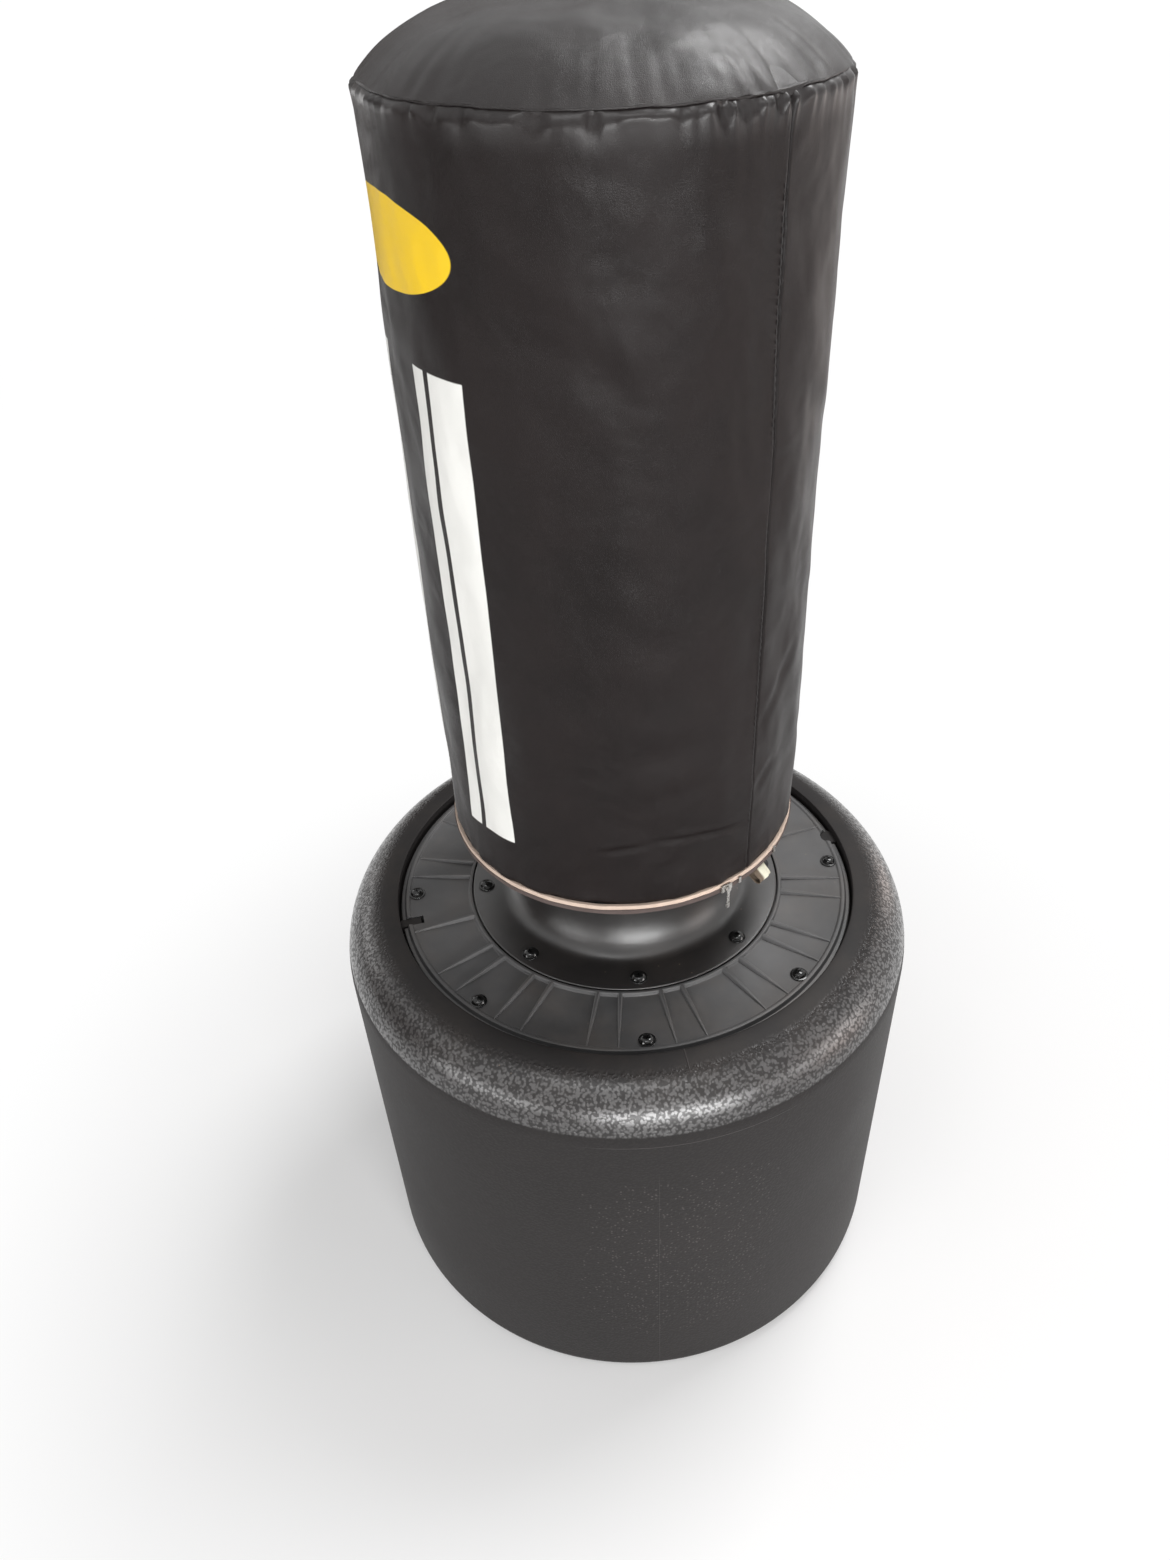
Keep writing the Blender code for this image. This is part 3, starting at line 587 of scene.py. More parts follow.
def material(name):
    """Finds a material, or makes it from the looks in the sidebar."""
    found = bpy.data.materials.get(name)
    if found:
        return found
    look = bpy.context.scene.bag_looks
    makers = {
        "tank_grained_plastic": lambda: tank_material(look),
        "plate_satin_plastic": lambda: satin_material(name, look.plate, look, 0.40, 0.16, 11.0),
        "collar_satin_plastic": lambda: satin_material(
            name, look.collar, look, 0.27, 0.04, 7.0, gloss=0.85),
        "screw_black": lambda: metal_material(name, look.screw, 0.07, 0.0),
        "vinyl_printed": lambda: vinyl_material(look, True),
        "vinyl_plain": lambda: vinyl_material(look, False),
        "zip_tape_weave": lambda: woven_material(name, look.zip_tape, 0.0011),
        # Painted shade: a darker copy of the zip tape for the lower tape and the coil.
        "zip_shaded_weave": lambda: woven_material(name, look.zip_tape_shaded, 0.0011),
        # The tag's second colour is painted shade on the inside of its fold.
        "tag_weave": lambda: woven_material(name, look.tag, 0.0009, look.tag_shade),
        "nickel_plate": lambda: metal_material(name, look.nickel, 0.22, 1.0),
        "seam_thread": lambda: plain_material(name, look.thread, 0.6, 2500.0, 0.0002),
        "rubber_black": lambda: plain_material(name, (0.02, 0.02, 0.02), 0.7, 900.0, 0.0003),
        "core_tube_plastic": lambda: plain_material(name, (0.35, 0.35, 0.34), 0.5, 600.0, 0.0002),
        "foam_grey": lambda: plain_material(name, (0.30, 0.31, 0.33), 0.9, 500.0, 0.0010),
        "sand_fill": lambda: plain_material(name, (0.56, 0.44, 0.28), 0.95, 800.0, 0.0012),
    }
    return makers[name]()


def colour_prop(name, description, default):
    return FloatVectorProperty(name=name, description=description, subtype="COLOR", default=default)


def number_prop(name, description, default, **limits):
    return FloatProperty(name=name, description=description, default=default, **limits)


def length_prop(name, description, default):
    return number_prop(name, description, default, unit="LENGTH")


class BagLooks(bpy.types.PropertyGroup):
    """Colours and finishes that a user may change."""

    tank: colour_prop("Tank", "Tank plastic", (0.0165, 0.0147, 0.0145))
    plate: colour_prop("Plate", "Cover plate plastic", (0.082, 0.081, 0.082))
    collar: colour_prop("Collar", "Neck collar plastic", (0.020, 0.0182, 0.0178))
    screw: colour_prop("Screws", "Black screw finish", (0.008, 0.008, 0.008))
    dust: colour_prop("Dust", "Settled dust", (0.20, 0.155, 0.12))
    vinyl: colour_prop("Vinyl", "Cover cloth", (0.0092, 0.0064, 0.0062))
    print_white: colour_prop("Bars", "Printed bars", (0.78, 0.78, 0.75))
    print_yellow: colour_prop("Oval", "Printed oval", (0.85, 0.56, 0.02))
    zip_tape: colour_prop("Zip tape", "Zip tape cloth", (0.62, 0.49, 0.405))
    # Painted shade: the lower tape and the coil take this darker copy of the tape colour.
    zip_tape_shaded: colour_prop("Zip hem", "Lower zip tape cloth", (0.105, 0.080, 0.074))
    tag: colour_prop("Tag", "Sewn tag cloth", (0.72, 0.70, 0.56))
    # Painted shade on the inside of the tag's fold.
    tag_shade: colour_prop("Tag, worn", "Shaded part of the tag", (0.15, 0.115, 0.085))
    nickel: colour_prop("Nickel", "Zip metal", (0.72, 0.70, 0.67))
    thread: colour_prop("Thread", "Seam thread", (0.022, 0.020, 0.020))
    grain_scale: number_prop("Tank grain", "Pebbles in a metre", 350.0, min=50.0)
    vinyl_grain: number_prop("Vinyl grain", "Grain cells in a metre", 900.0, min=50.0)
    vinyl_rough: number_prop("Vinyl roughness", "Roughness of the cover", 0.34, min=0.0, max=1.0)
    vinyl_mottle: number_prop("Vinyl mottle", "Depth of the soft dents, in millimetres", 7.5,
                              min=0.0)
    print_low: length_prop("Bars from", "Lower end of the bars", 0.665)
    print_high: length_prop("Bars to", "Upper end of the bars", 1.075)
    disc_height: length_prop("Oval height", "Middle of the printed oval", 1.150)


class BagSizes(bpy.types.PropertyGroup):
    """Counts and depths of the soft and moulded detail."""

    wrinkle: length_prop("Wrinkle", "Depth of the cover's wrinkles", 0.0026)
    pucker: length_prop("Pucker", "Depth of the gathers at the top seam", 0.0020)
    stitch: length_prop("Stitch", "Length of a stitch and its space", 0.0062)
    thread: length_prop("Thread", "Thread width", 0.0008)
    teeth: IntProperty(name="Zip coils", description="Coils round the zip", default=500, min=50)
    around: IntProperty(name="Facets", description="Facets round the large circles", default=192,
                        min=48)


class BagStage(bpy.types.PropertyGroup):
    """Floor, light and camera."""

    floor: colour_prop("Floor", "Floor colour", (0.70, 0.70, 0.70))
    wall: colour_prop("Wall", "Dark wall round the stage, hidden from the camera",
                      (0.10, 0.075, 0.065))
    key: number_prop("Front", "Power of the front strip", 92.0, unit="POWER")
    top: number_prop("Overhead", "Power of the overhead light", 50.0, unit="POWER")
    side: number_prop("Sides", "Power of the side strips", 14.0, unit="POWER")
    distance: length_prop("Distance", "Camera's level distance from the axis", 0.9131)
    height: length_prop("Height", "Camera height", 1.3579)
    pitch: number_prop("Pitch", "Degrees that the camera looks down", 39.977)
    roll: number_prop("Roll", "Camera roll in degrees", -2.086)
    yaw: number_prop("Yaw", "Camera turn in degrees", 0.833)
    swing: number_prop("Swing", "Degrees from -Y to the camera", -4.4)
    focal: number_prop("Focal length", "Focal length in pixels of the photo", 1172.0)


def tank_outline():
    wall = 0.005
    recess = PLATE_R + 0.0024
    mouth = PLATE_R - 0.038
    ledge = PLATE_TOP - 0.008 - 0.0026
    shoulder, wide, tall = recess + 0.002, TANK_R - recess - 0.002, 0.060
    low = TANK_TOP - tall
    foot = 0.022
    inner = TANK_R - foot - 0.045
    points = eased([(0.0, 0.006), (inner - 0.010, 0.006), (inner, 0.0), (TANK_R - foot, 0.0)],
                   0.004)
    points += arc((TANK_R - foot, foot), (foot, foot), -84, 0, 8)
    points += [(TANK_R, 0.15), (TANK_R, 0.30)]
    points += arc((shoulder, low), (wide, tall), 0, 88, 18)
    points += eased([(shoulder, TANK_TOP), (recess, TANK_TOP), (recess, ledge), (mouth, ledge),
                     (mouth, ledge - 0.006), (recess + wall, ledge - 0.006)], 0.002)
    points += [(recess + wall, TANK_TOP - wall - 0.001)]
    points += arc((shoulder, low), (wide - wall, tall - wall), 70, 0, 6)
    points += arc((TANK_R - foot, foot), (foot - wall, foot - wall), 0, -90, 4)
    points += [(inner, wall), (inner - 0.010, 0.006 + wall), (0.0, 0.006 + wall)]
    return points


class BAG_OT_tank(bpy.types.Operator):
    """Moulded tank with its recess, keys and fill"""

    bl_idname = "bag.tank"
    bl_label = "Tank"

    def execute(self, context):
        look = material("tank_grained_plastic")
        segments = context.scene.bag_sizes.around
        mesh = finish_mesh(turned(tank_outline(), segments), "tank")
        tank = add_piece("tank", mesh, look, "base", ["base_shell"])
        keys = bmesh.new()
        low, high = PLATE_TOP - 0.0115, PLATE_TOP - 0.0012
        add_box(keys, (0.025, 0.010, high - low), (PLATE_R - 0.0065, 0, (low + high) / 2),
                SQUARE_KEY)
        add_post(keys, 0.0095, polar(PLATE_R - 0.002, ROUND_KEY), low, high)
        combine(tank, keys, "UNION")
        for node, finish in (("sand_ballast", "sand_fill"), ("plate_gasket", "rubber_black")):
            dress(node, finish)
        return {"FINISHED"}


def add_rib(bm, degrees, end):
    """A soft-edged ridge that falls from the bead to a point near the rim."""
    start = FLANGE_R + 0.0045
    turn = Matrix.Rotation(math.radians(degrees), 4, "Z")
    rings, steps = [], 8
    for i in range(steps + 1):
        t = i / steps
        r = start + (end - start) * t
        half = 0.0028 * (1 - t) + 0.0008 * t
        top = (BEAD_TOP - PLATE_TOP - 0.0004) * (1 - t) ** 0.6 + 0.0006
        outline = [(-half, -0.001), (-half, 0.0001), (-half * 0.74, top * 0.82), (-half * 0.4, top)]
        outline += [(-y, z) for y, z in reversed(outline)]
        rings.append([bm.verts.new(turn @ Vector((r, y, PLATE_TOP + z))) for y, z in outline])
    skin_rings(bm, rings)


class BAG_OT_plate(bpy.types.Operator):
    """Ribbed cover plate with its rim, bead and key notches"""

    bl_idname = "bag.plate"
    bl_label = "Cover plate"

    def execute(self, context):
        low, seat = PLATE_TOP - 0.008, PLATE_TOP - 0.001
        hole, rim = NECK_R + 0.012, PLATE_R - 0.0043
        bead_in, bead_out = FLANGE_R + 0.0015, FLANGE_R + 0.0055
        outline = eased([(hole, low), (hole, seat), (bead_in, seat), (bead_in, BEAD_TOP),
                         (bead_out - 0.0008, BEAD_TOP), (bead_out, PLATE_TOP),
                         (rim - 0.0056, PLATE_TOP), (rim - 0.0046, PLATE_TOP + 0.0016),
                         (rim - 0.0010, PLATE_TOP + 0.0016), (rim + 0.0004, PLATE_TOP - 0.003),
                         (PLATE_R, PLATE_TOP - 0.003), (PLATE_R, low), (hole + 0.01, low)], 0.0009)
        mesh = finish_mesh(turned(outline, context.scene.bag_sizes.around, ring=True), "plate")
        plate = add_piece("ribbed_plate", mesh, material("plate_satin_plastic"),
                          "base", ["cover_plate"])
        ribs = bmesh.new()
        for screw in SCREW_ANGLES:
            for offset in RIB_OFFSETS:
                turn = screw + offset
                if all(abs(angle_gap(turn, key)) > 4.0 for key in (SQUARE_KEY, ROUND_KEY)):
                    add_rib(ribs, turn, PLATE_R - 0.0071)
        combine(plate, ribs, "UNION")
        cuts = bmesh.new()
        add_box(cuts, (0.034, 0.012, 0.04), (NOTCH_R + 0.017, 0, PLATE_TOP), SQUARE_KEY)
        add_post(cuts, 0.0105, polar(PLATE_R - 0.002, ROUND_KEY), PLATE_TOP - 0.02,
                 PLATE_TOP + 0.02)
        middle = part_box("fill_plug")[0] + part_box("fill_plug")[1]
        add_post(cuts, 0.0125, middle / 2, PLATE_TOP - 0.02, PLATE_TOP + 0.02)
        combine(plate, cuts, "DIFFERENCE")
        return {"FINISHED"}


class BAG_OT_collar(bpy.types.Operator):
    """Flared neck collar"""

    bl_idname = "bag.collar"
    bl_label = "Collar"

    def execute(self, context):
        wall = 0.005
        start = FLANGE_R - 0.031
        rise = 0.57 * (SHOULDER_Z - FLANGE_TOP)
        centre = (start, FLANGE_TOP + rise)
        spigot = NECK_R - 0.024
        edge = eased([(start + 0.004, FLANGE_LOW), (FLANGE_R, FLANGE_LOW), (FLANGE_R, FLANGE_TOP),
                      (start + 0.004, FLANGE_TOP)], 0.0012)
        flare = arc(centre, (start - NECK_R, rise), 270, 180, 16)
        top = eased([(NECK_R, SHOULDER_Z - 0.02), (NECK_R, SHOULDER_Z), (spigot, SHOULDER_Z),
                     (spigot, SPIGOT_TOP), (spigot - wall, SPIGOT_TOP),
                     (spigot - wall, SHOULDER_Z - wall), (NECK_R - wall, SHOULDER_Z - wall),
                     (NECK_R - wall, SHOULDER_Z - 0.02)], 0.002)
        inside = arc(centre, (start - NECK_R + wall, rise + wall), 180, 270, 10)
        outline = edge + flare + top + inside
        mesh = finish_mesh(turned(outline, context.scene.bag_sizes.around, ring=True), "collar")
        add_piece("flared_collar", mesh, material("collar_satin_plastic"),
                  "base", ["collar"])
        dress("neck_bush", "rubber_black")
        return {"FINISHED"}


def screw_mesh():
    """Washer-head screw with a cross recess, seated at height 0."""
    head = [(0.0, 0.0052), (0.0026, 0.0050), (0.0046, 0.0043), (0.0060, 0.0030), (0.0066, 0.0014)]
    washer = eased([(0.0068, 0.0012), (0.0085, 0.0011), (0.0085, 0.0), (0.0030, 0.0)], 0.0004)
    bm = turned(head + washer + [(0.0030, -0.0212), (0.0, -0.022)], 32)
    piece = link_object("screw_blank", finish_mesh(bm, "washer_head_screw"))
    level, taper = 0.0056, 0.55
    for turn in (0.0, 90.0):
        slot = bmesh.new()
        for vert in add_box(slot, (0.0070, 0.0013, 0.0060), (0, 0, level), turn):
            if vert.co.z < level:
                vert.co.x *= taper
                vert.co.y *= taper
        combine(piece, slot, "DIFFERENCE")
    mesh = piece.data
    bpy.data.objects.remove(piece)
    return mesh


class BAG_OT_screws(bpy.types.Operator):
    """Washer-head screws round the plate and the flange"""

    bl_idname = "bag.screws"
    bl_label = "Screws"

    def execute(self, context):
        mesh = screw_mesh()
        mesh.materials.clear()
        mesh.materials.append(material("screw_black"))
        circles = (("plate_screw", PLATE_HOLES, PLATE_TOP),
                   ("collar_screw", FLANGE_HOLES, FLANGE_TOP))
        for family, (kind, radius, height) in enumerate(circles):
            for i, angle in enumerate(SCREW_ANGLES, 1):
                screw = link_object(f"{kind}_head_{i}", mesh)
                screw.location = polar(radius, angle, height + 0.0003)
                screw.rotation_euler.z = math.radians((i * 67 + family * 31) % 90)
                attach(screw, "base")
                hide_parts(f"{kind}_{i}")
        return {"FINISHED"}


class BAG_OT_plug(bpy.types.Operator):
    """Filling plug with a ribbed rim and a finger bar, and its seal"""

    bl_idname = "bag.plug"
    bl_label = "Filling plug"

    def execute(self, context):
        low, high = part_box("fill_plug")
        centre = (low + high) / 2
        head = (high.x - low.x) / 2
        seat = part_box("plug_seal")[1].z + 0.0003
        outline = [(head - 0.004, low.z), (head - 0.004, seat), (head, seat), (head, seat + 0.007),
                   (0.0, seat + 0.007)]
        outline = [(0.0, low.z)] + eased([(0.0, low.z)] + outline, 0.0008)[1:]
        bm = turned(outline, 96)
        for vert in bm.verts:
            reach = math.hypot(vert.co.x, vert.co.y)
            if reach > head - 0.0003 and vert.co.z > seat:
                angle = math.atan2(vert.co.y, vert.co.x)
                scale = 1.0 - 0.035 * (0.5 + 0.5 * math.cos(24 * angle))
                vert.co.x *= scale
                vert.co.y *= scale
        plug = add_piece("plug", finish_mesh(bm, "plug"), material("collar_satin_plastic"),
                         "plug", ["fill_plug"])
        plug.location = (centre.x, centre.y, 0.0)
        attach(plug, "plug")
        grip = bmesh.new()
        add_box(grip, (head * 1.6, 0.006, 0.010), (0, 0, high.z - 0.005))
        bmesh.ops.bevel(grip, geom=grip.edges[:], offset=0.0012, segments=2, affect="EDGES")
        bmesh.ops.translate(grip, verts=grip.verts, vec=(centre.x, centre.y, 0.0))
        combine(plug, grip, "UNION")
        dress("plug_seal", "rubber_black")
        return {"FINISHED"}


# Each crease runs from one (angle, height) to another, with a half width and a depth in metres
CREASES = (
    (-86, 0.687, -54, 0.677, 0.0036, 0.0018),
    (-102, 0.676, -87, 0.684, 0.0036, 0.0013),
    (-95, 0.772, -58, 0.792, 0.0150, 0.0016),
    (-90, 0.728, -60, 0.742, 0.0110, 0.0012),
    (-108, 0.930, -72, 0.850, 0.0140, 0.0010),
    (-51, 0.772, -30, 0.838, 0.0080, 0.0015),
    (-51, 0.704, -42, 0.728, 0.0060, 0.0012),
    (-44, 0.900, -18, 0.850, 0.0120, 0.0012),
    (-40, 1.050, -12, 0.990, 0.0120, 0.0012),
    (-125, 1.140, -84, 1.060, 0.0160, 0.0010),
    (-20, 0.720, 15, 0.690, 0.0100, 0.0014),
    (60, 0.660, 95, 0.690, 0.0080, 0.0016),
    (140, 0.900, 175, 0.830, 0.0140, 0.0012),
    (20, 1.100, 60, 1.060, 0.0140, 0.0012),
)


def crease_depth(degrees, z):
    total = 0.0
    for a0, z0, a1, z1, half, depth in CREASES:
        run = Vector((math.radians(a1 - a0) * BAG_R, z1 - z0))
        here = Vector((math.radians(angle_gap(degrees, a0)) * BAG_R, z - z0))
        t = here.dot(run) / run.length_squared
        if not -0.3 < t < 1.3:
            continue
        off = (here - run * t).length
        fade = math.exp(-((t - 0.5) / 0.42) ** 4)
        side = run.x * here.y - run.y * here.x
        lip = 0.45 * math.exp(-((off - half * 1.5) / half) ** 2) * (1 if side > 0 else 0.4)
        total += depth * fade * (lip - math.exp(-(off / half) ** 2))
    return total


def seam_depth(degrees, z):
    """Each upright seam: one panel laps over the other, with a narrow groove and small gathers."""
    total = 0.0
    for seam in (SEAM_ANGLE, SEAM_ANGLE + 180.0):
        off = math.radians(angle_gap(degrees, seam)) * BAG_R
        gather = noise.noise(Vector((off * 20, z * 75, seam))) * 0.0006
        lap = 0.00055 if off < 0 else -0.00040
        total += lap * math.exp(-(off / 0.010) ** 2)
        total -= 0.0022 * math.exp(-((off - 0.0004) / 0.0013) ** 2)
        total += gather * math.exp(-(off / 0.014) ** 2)
    return total


def ring_noise(degrees, scale, level):
    """Noise round the bag that meets itself where the circle closes."""
    around = polar(1.0, degrees)
    return noise.noise(Vector((around.x * scale, around.y * scale, level)))


def seam_height(degrees):
    """The top seam runs a little up and down between its gathers."""
    return SEAM_Z + 0.0011 * ring_noise(degrees, 8, 60.0)


def gathers_at(degrees, seed):
    """Sharp-crested gathers along the top seam."""
    coarse = ring_noise(degrees, 11, seed)
    fine = ring_noise(degrees, 27, seed + 7.0)
    bunched = 0.35 + 1.1 * max(0.0, ring_noise(degrees, 2.3, seed + 13.0))
    near_seam = math.exp(-(angle_gap(degrees, SEAM_ANGLE) / 16.0) ** 2)
    return (0.45 - 1.8 * abs(coarse) + 0.5 * fine) * (bunched + 0.9 * near_seam)


def side_radius(degrees, z, sizes):
    """Radius of the cover's side: broad wrinkles, creases, seams, gathers above and a hem below."""
    around = polar(1.0, degrees)
    slow = ring_noise(degrees, 2.2, z * 5.0) * 1.5
    lean = Vector((around.x * 5.0, around.y * 5.0, z * 13.0 + math.radians(degrees) * 1.2))
    wrinkles = noise.noise(lean) * 0.55 + noise.noise(lean * 2.1) * 0.25
    drop = max(0.0, seam_height(degrees) - SEAM_GAP - z)
    calm = min(1.0, 0.25 + drop / 0.03)
    r = BAG_R - 0.0012 + sizes.wrinkle * calm * (slow + wrinkles)
    r += crease_depth(degrees, z) + seam_depth(degrees, z)
    near = math.exp(-drop / 0.010) * min(1.0, drop / 0.005 + 0.2)
    r += sizes.pucker * gathers_at(degrees, 3.0) * near
    puff = abs(ring_noise(degrees, 13, 77.0))
    r -= 0.0095 * (puff - 0.18) * math.exp(-drop / 0.0085) * min(1.0, drop / 0.004)
    roll = 0.0045 + 0.0220 * puff
    r -= 0.0042 * max(0.0, 1 - drop / roll) ** 2
    rise = z - SIDE_LOW
    r -= 0.0016 * max(0.0, 1 - rise / 0.006) ** 2
    r += sizes.wrinkle * 0.8 * ring_noise(degrees, 12, 40.0) * math.exp(-rise / 0.02)
    return r


class BAG_OT_cover_side(bpy.types.Operator):
    """Vinyl tube with creases, seam valleys and gathers under the top seam"""

    bl_idname = "bag.cover_side"
    bl_label = "Cover side"

    def execute(self, context):
        sizes = context.scene.bag_sizes
        columns, rows = sizes.around * 9 // 4, 230
        inner = BAG_R - 0.0070

        def outside(i, k):
            turn = i / columns
            crowd = 0.82 * math.sin(2 * math.tau * turn) / (2 * math.tau)
            degrees = 360.0 * (turn - crowd) + SEAM_ANGLE
            share = k / (rows - 1)
            bent = share - 0.055 * math.sin(math.tau * share)
            z = SIDE_LOW + (seam_height(degrees) - SEAM_GAP - SIDE_LOW) * bent
            return polar(side_radius(degrees, z, sizes), degrees, z)

        bm = grid_mesh(outside, columns, rows)
        bm.verts.ensure_lookup_table()
        lows = [bm.verts[i * rows] for i in range(columns)]
        highs = [bm.verts[i * rows + rows - 1] for i in range(columns)]

        def lined(vert):
            flat = Vector((vert.co.x, vert.co.y, 0)).normalized() * inner
            return bm.verts.new(flat + Vector((0, 0, vert.co.z)))

        low_rim, high_rim = [[lined(vert) for vert in ring] for ring in (lows, highs)]
        for first, second in ((lows, low_rim), (highs, high_rim), (low_rim, high_rim)):
            join_rings(bm, first, second)
        cover = add_piece("cover_tube", finish_mesh(bm, "cover_tube"), material("vinyl_printed"),
                          "bag", ["cover_side", "side_seam_a", "side_seam_b"], sharp=60.0)
        return {"FINISHED"}


def top_height(r, degrees, sizes):
    """Height of the crown: a domed panel with soft dents, gathered at its edge."""
    share = min(1.0, r / BAG_R)
    z = DOME_LOW + (DOME_HIGH - DOME_LOW) * (1.0 - share ** 4)
    dents = ring_noise(degrees, share * 2.4, 11.0) + 0.5 * ring_noise(degrees, share * 6.0, 5.0)
    z += 0.0028 * dents * (1 - share ** 8) - 0.0022
    edge = (1 - share) * BAG_R
    near = math.exp(-edge / 0.016)
    z += sizes.pucker * 2.2 * gathers_at(degrees, 21.0) * near * (1 - 0.75 * share ** 60)
    pinch = math.radians(angle_gap(degrees, SEAM_ANGLE)) * BAG_R
    z -= 0.0036 * math.exp(-(pinch / 0.008) ** 2) * near
    return min(z, DOME_HIGH)


class BAG_OT_cover_top(bpy.types.Operator):
    """Crowned top panel, gathered at its edge, and the seam's folded welt"""

    bl_idname = "bag.cover_top"
    bl_label = "Cover top"

    def execute(self, context):
        sizes = context.scene.bag_sizes
        columns, rows, lining = sizes.around * 3 // 2, 64, 10
        depth = rows + lining
        thick = 0.0075

        def skin(i, k):
            degrees = 360.0 * i / columns
            if k >= rows:
                share = math.cos(math.pi / 2 * (k - rows) / lining)
                low = DOME_LOW + (DOME_HIGH - DOME_LOW - thick) * (1 - share ** 4)
                return polar((BAG_R - thick) * share, degrees, low)
            share = math.sin(math.pi / 2 * min(1.0, (k + 1) / (rows - 5)))
            z = top_height(BAG_R * share, degrees, sizes)
            down = max(0, k - rows + 6) / 5
            z += (seam_height(degrees) + SEAM_GAP - z) * down
            return polar((BAG_R - 0.0044) * share - 0.0008 * down ** 2, degrees, z)

        bm = grid_mesh(skin, columns, depth)
        bm.verts.ensure_lookup_table()
        first = [bm.verts[i * depth] for i in range(columns)]
        last = [bm.verts[i * depth + depth - 1] for i in range(columns)]
        crown = bm.verts.new((0, 0, top_height(0.0, 0.0, sizes)))
        under = bm.verts.new((0, 0, DOME_HIGH - thick))
        for i in range(columns):
            j = (i + 1) % columns
            bm.faces.new((crown, first[i], first[j]))
            bm.faces.new((last[j], last[i], under))
        top = add_piece("cover_crown", finish_mesh(bm, "cover_crown"), material("vinyl_plain"),
                        "bag", ["cover_top"], sharp=60.0)

        sides = 10

        def welt(i, k):
            degrees = 360.0 * i / columns
            angle = math.tau * k / sides
            r = BAG_R - 0.0058 + ring_noise(degrees, 19, 30.0) * 0.0003 + 0.0011 * math.cos(angle)
            return polar(r, degrees, seam_height(degrees) + 0.0012 * math.sin(angle))

        ridge = grid_mesh(welt, columns, sides + 1)
        bmesh.ops.remove_doubles(ridge, verts=ridge.verts, dist=1e-6)
        add_piece("seam_welt", finish_mesh(ridge, "seam_welt"), material("vinyl_plain"),
                  "bag", ["top_welt"])
        return {"FINISHED"}


class BAG_OT_stitches(bpy.types.Operator):
    """Thread along the two upright seams"""

    bl_idname = "bag.stitches"
    bl_label = "Stitches"

    def execute(self, context):
        sizes = context.scene.bag_sizes
        bm = bmesh.new()
        count = int((SIDE_HIGH - SIDE_LOW - 0.02) / sizes.stitch)
        for seam in (SEAM_ANGLE, SEAM_ANGLE + 180.0):
            degrees = seam - math.degrees(0.0026 / BAG_R)
            out = polar(1.0, degrees)
            for i in range(count):
                z = SIDE_LOW + 0.01 + i * sizes.stitch
                heights = (z, z + sizes.stitch * 0.72)
                ends = [polar(side_radius(degrees, h, sizes), degrees, h) for h in heights]
                add_thread(bm, *ends, out, sizes.thread)
        add_piece("seam_stitches", finish_mesh(bm, "seam_stitches"), material("seam_thread"),
                  "bag")
        return {"FINISHED"}


class BAG_OT_zip(bpy.types.Operator):
    """Zip tapes, coil, end stops and the bottom panel that they hold"""

    bl_idname = "bag.zip"
    bl_label = "Zip"

    def execute(self, context):
        sizes = context.scene.bag_sizes
        columns = 384

        def band_point(low, high, seed):
            outline = eased([(-0.0030, low), (0.0, low), (0.0, high), (-0.0030, high)], 0.0006)

            def place(i, k):
                degrees = 360.0 * i / columns
                wave = ring_noise(degrees, 7, seed) * 0.0006
                r, z = outline[k % len(outline)]
                return polar(BAG_R - 0.0004 + wave + r, degrees, z)
            return place, len(outline)

        spans = (
            ("zip_tape_upper", ZIP_Z + 0.0003, ZIP_HIGH, "zip_upper_tape", "zip_tape_weave"),
            # The lower tape is painted darker, as painted shade.
            ("zip_tape_lower", ZIP_LOW, ZIP_Z - 0.0003, "zip_lower_tape", "zip_shaded_weave"),
        )
        for seed, (name, low, high, node, look) in enumerate(spans):
            place, count = band_point(low, high, seed * 9.0)
            bm = grid_mesh(place, columns, count + 1)
            bmesh.ops.remove_doubles(bm, verts=bm.verts, dist=1e-6)
            add_piece(name, finish_mesh(bm, name), material(look), "bag", [node])
        facets = 6
        fine = sizes.teeth * facets

        def coil(i, k):
            degrees = 360.0 * i / fine
            beat = 0.5 + 0.5 * math.cos(math.tau * i / facets)
            angle = math.tau * k / facets
            swell = 0.0006 + 0.0005 * beat
            r = BAG_R - 0.0003 + swell * math.cos(angle) * 0.8
            return polar(r, degrees, ZIP_Z + swell * math.sin(angle))

        bm = grid_mesh(coil, fine, facets + 1)
        bmesh.ops.remove_doubles(bm, verts=bm.verts, dist=1e-6)
        # The coil takes the same painted shade.
        add_piece("zip_coil", finish_mesh(bm, "zip_coil"), material("zip_shaded_weave"),
                  "bag")
        for name in ("zip_stop_a", "zip_stop_b"):
            dress(name, "nickel_plate")
        low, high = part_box("bottom_panel")
        hole = 0.118
        outline = eased([(hole + 0.007, low.z), (hole, low.z), (hole, high.z), (high.x, high.z),
                         (high.x, low.z), (hole + 0.008, low.z)], 0.0008)
        mesh = finish_mesh(turned(outline, 160, ring=True), "bottom_panel_ring")
        add_piece("bottom_panel_ring", mesh, material("vinyl_plain"),
                  "bag", ["bottom_panel"])
        return {"FINISHED"}


